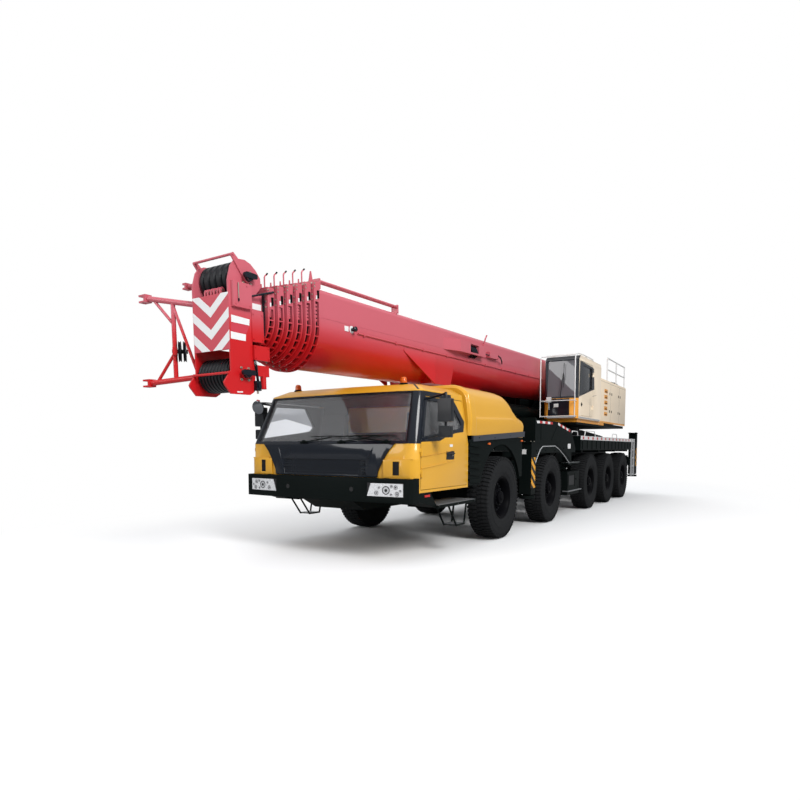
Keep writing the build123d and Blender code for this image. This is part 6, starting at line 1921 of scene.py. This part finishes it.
def door_dress():
    bm = bmesh.new()
    inner = ((-4.765, 2.746), (-4.805, 3.434), (-5.634, 3.434), (-5.634, 2.946))
    outer = ((-4.562, 2.696), (-4.562, 3.512), (-5.716, 3.480), (-5.716, 2.930))
    for n in range(4):
        m = (n + 1) % 4
        ring = [inner[n], inner[m], outer[m], outer[n]]
        prism(bm, [at(x, OPCAB_SIDE - 0.014, z) for x, z in ring], (0, 0.018, 0), 0)
    lathe(bm, at(-4.735, OPCAB_SIDE, 2.520), (0, 1, 0), [(0, 0), (0.046, 0), (0.046, 0.003), (0, 0.003)], 24, 1)
    box(bm, at(-4.765, OPCAB_SIDE, 2.508), at(-4.705, OPCAB_SIDE + 0.016, 2.532), 1)
    side_sheet(bm, ((-4.575, 2.588), (-5.705, 2.760), (-5.705, 2.770), (-4.575, 2.598)), 0.003, 2)
    side_sheet(bm, ((-5.495, 2.275), (-5.503, 2.275), (-5.503, 2.735), (-5.495, 2.733)), 0.0012, 1)
    return finish("operator_door_dress", bm, [BLACK_GLOSS, BLACK, CREAM], "operator_door", "black_frame")


upper_cab_dress()
door_dress()

# %% [markdown]
# A guard of white tubes stands in front of the windscreen and carries on over the roof. It is one path
# per tube. The side boxes behind the cab get orange slots, fine seams, lids and a few black fittings.

# %% White guard frame
GUARD_X, GUARD_Y, GUARD_TOP = -4.230, (0.640, 1.440), 3.610
GUARD_LINES = (2.235, 2.590)


def guard_frame():
    bm = bmesh.new()
    for y in GUARD_Y:
        rod(bm, [at(GUARD_X, y, 2.215), at(GUARD_X, y, GUARD_TOP - 0.06), at(GUARD_X - 0.03, y, GUARD_TOP),
                 at(-4.66, min(1.40, max(y, 0.72)), 3.690), at(-5.00, min(1.40, max(y, 0.72)), 3.706),
                 at(-5.90, min(1.40, max(y, 0.72)), 3.706), at(-6.00, min(1.40, max(y, 0.72)), 3.640)], 0.013, 10, 0)
        for z in (2.235, 2.590):
            rod(bm, [at(GUARD_X, y, z), at(-4.44, min(1.42, max(y, 0.70)), z)], 0.010, 8, 0)
    for z in GUARD_LINES:
        rod(bm, [at(GUARD_X, GUARD_Y[0], z), at(GUARD_X, GUARD_Y[1], z)], 0.011, 8, 0)
    rod(bm, [at(GUARD_X - 0.03, GUARD_Y[0], GUARD_TOP), at(GUARD_X - 0.03, GUARD_Y[1], GUARD_TOP)], 0.012, 8, 0)
    for x in (-4.72, -5.35, -5.90):
        rod(bm, [at(x, 0.72, 3.700), at(x, 1.40, 3.700)], 0.010, 8, 0)
        for y in (0.72, 1.40):
            rod(bm, [at(x, y, 3.638), at(x, y, 3.704)], 0.010, 8, 0)
    rod(bm, [at(-5.10, 0.90, 3.704), at(-5.18, 0.90, 3.78), at(-5.60, 0.90, 3.80), at(-5.84, 1.10, 3.76)], 0.007, 6, 0)
    return finish("operator_guard_frame", bm, [WHITE_RAIL], "upper", "white_rail", smooth=60)


guard_frame()

# %% Machinery housings with round edges, slots, seams and fittings
VENT_TOP, VENT_STEP, VENTS = 3.140, -0.158, 5


def housings():
    bm = welded_copy("machinery_housings")
    count = round_edges(bm, 0.016, 0.15)
    print("housings,", count, "edges rounded")
    paint_faces(bm, lambda place,
                normal: int(abs(place.y) < 0.66 or normal.z < -0.7 or (normal.x > 0.7 and place.y < 0)))
    return finish("machinery_housings_pressed", bm, [CREAM, BLACK], "upper", "cream_paint", smooth=35,
                  replaces=("machinery_housings",))


def luff_barrel():
    """The luffing cylinder under the boom, all in black: the black is painted shade, for the boom's shadow that it lies
    in.
    """
    bm = welded_copy("luff_barrel")
    # Painted shade: the whole barrel is black in place of its red paint.
    return finish("luff_barrel_painted_shade", bm, [BLACK], "luff_barrel", "black_frame", smooth=35, replaces=("luff_barrel",))


def housing_dress():
    bm = bmesh.new()
    for side in (1, -1):

        def slab(*spans):
            side_box(bm, side, *spans)

        vent = bmesh.new()
        y0, y1 = sorted((side * 1.299, side * 1.309))
        box(vent, at(-8.00, y0, VENT_TOP - 0.102), at(-7.66, y1, VENT_TOP))
        join(bm, repeated(vent, ROW, ORANGE, count=VENTS, step=(0, 0, VENT_STEP)), 0)
        slot = bmesh.new()
        y0, y1 = sorted((side * 1.300, side * 1.3115))
        box(slot, at(-7.965, y0, VENT_TOP - 0.085), at(-7.695, y1, VENT_TOP - 0.060))
        join(bm, repeated(slot, ROW, BLACK, count=VENTS, step=(0, 0, VENT_STEP)), 1)
        for x in (-7.22, -8.42, -9.55):
            slab(x - 0.003, x + 0.003, 1.299, 1.3012, 2.26, 3.33, 3)
        slab(-7.10, -10.44, 1.299, 1.305, 2.195, 2.245, 0)
        slab(-7.22, -10.40, 1.299, 1.3012, 3.325, 3.331, 3)
        for x in (-8.30, -8.54, -9.43, -9.67):
            for z in (2.55, 3.05):
                slab(x - 0.022, x + 0.022, 1.299, 1.308, z - 0.035, z + 0.035, 1)
        slab(-7.25, -7.80, 0.86, 1.16, 3.398, 3.500, 0)
        slab(-8.20, -8.92, 0.80, 1.20, 3.398, 3.440, 1)
        slab(-9.60, -10.10, 0.80, 1.15, 3.398, 3.470, 1)
        slab(-10.495, -10.72, 1.00, 1.22, 3.290, 3.385, 1)
        slab(-10.495, -10.66, 1.02, 1.20, 2.90, 2.98, 1)
        rod(bm, [at(-9.90, side * 0.95, 3.47), at(-10.00, side * 0.95, 3.56), at(-10.30, side * 0.97, 3.56),
                 at(-10.44, side * 0.99, 3.46), at(-10.56, side * 1.02, 3.36)], 0.018, 8, 2)
        rod(bm, [at(-9.80, side * 1.05, 3.47), at(-9.95, side * 1.06, 3.53), at(-10.25, side * 1.07, 3.52),
                 at(-10.42, side * 1.08, 3.44), at(-10.54, side * 1.09, 3.36)], 0.015, 8, 2)
        for n in range(7):
            slab(-10.498, -10.506, 0.74, 1.20, 2.36 + 0.062 * n, 2.385 + 0.062 * n, 1)
    return finish("housing_fittings", bm, [ORANGE, BLACK, HOSE, GREY_PLASTIC], "upper", "cream_paint", bevel=0.001)


def skirt():
    bm = bmesh.new()
    box(bm, at(-4.545, 0.70, 2.110), at(-4.553, 1.39, 2.186), 0)
    box(bm, at(-7.18, 1.399, 2.110), at(-4.56, 1.405, 2.186), 0)
    for x in (-4.9, -5.8, -6.7):
        bolt(bm, at(x, 1.405, 2.15), (0, 1, 0), 0.012, 0.010, 1)
    return finish("orange_skirt", bm, [ORANGE, ZINC], "upper", "cream_paint", bevel=0.001)


def side_tank():
    """A guessed tank beside the boom on the right, with straps, a filler cap and two pipes."""
    bm = bmesh.new()
    box(bm, at(-6.30, -1.180, 2.192), at(-4.85, -0.640, 2.930), 0)
    for x in (-5.95, -5.20):
        box(bm, at(x - 0.030, -1.186, 2.192), at(x + 0.030, -0.634, 2.936), 1)
    lathe(bm, at(-5.55, -0.90, 2.928), (0, 0, 1),
          [(0, 0), (0.070, 0), (0.070, 0.030), (0.055, 0.050), (0, 0.055)], 24, 2)
    box(bm, at(-4.851, -0.95, 2.42), at(-4.845, -0.91, 2.72), 2)
    for y in (-0.78, -1.04):
        rod(bm, [at(-6.20, y, 2.925), at(-6.24, y, 3.02), at(-6.40, y, 3.06), at(-7.06, y, 3.06)], 0.022, 10, 1)
    return finish("side_service_tank", bm, [BLACK, HOSE, GREY_PLASTIC], "upper", "black_frame", bevel=0.012)


housings()
housing_dress()
skirt()
luff_barrel()
side_tank()
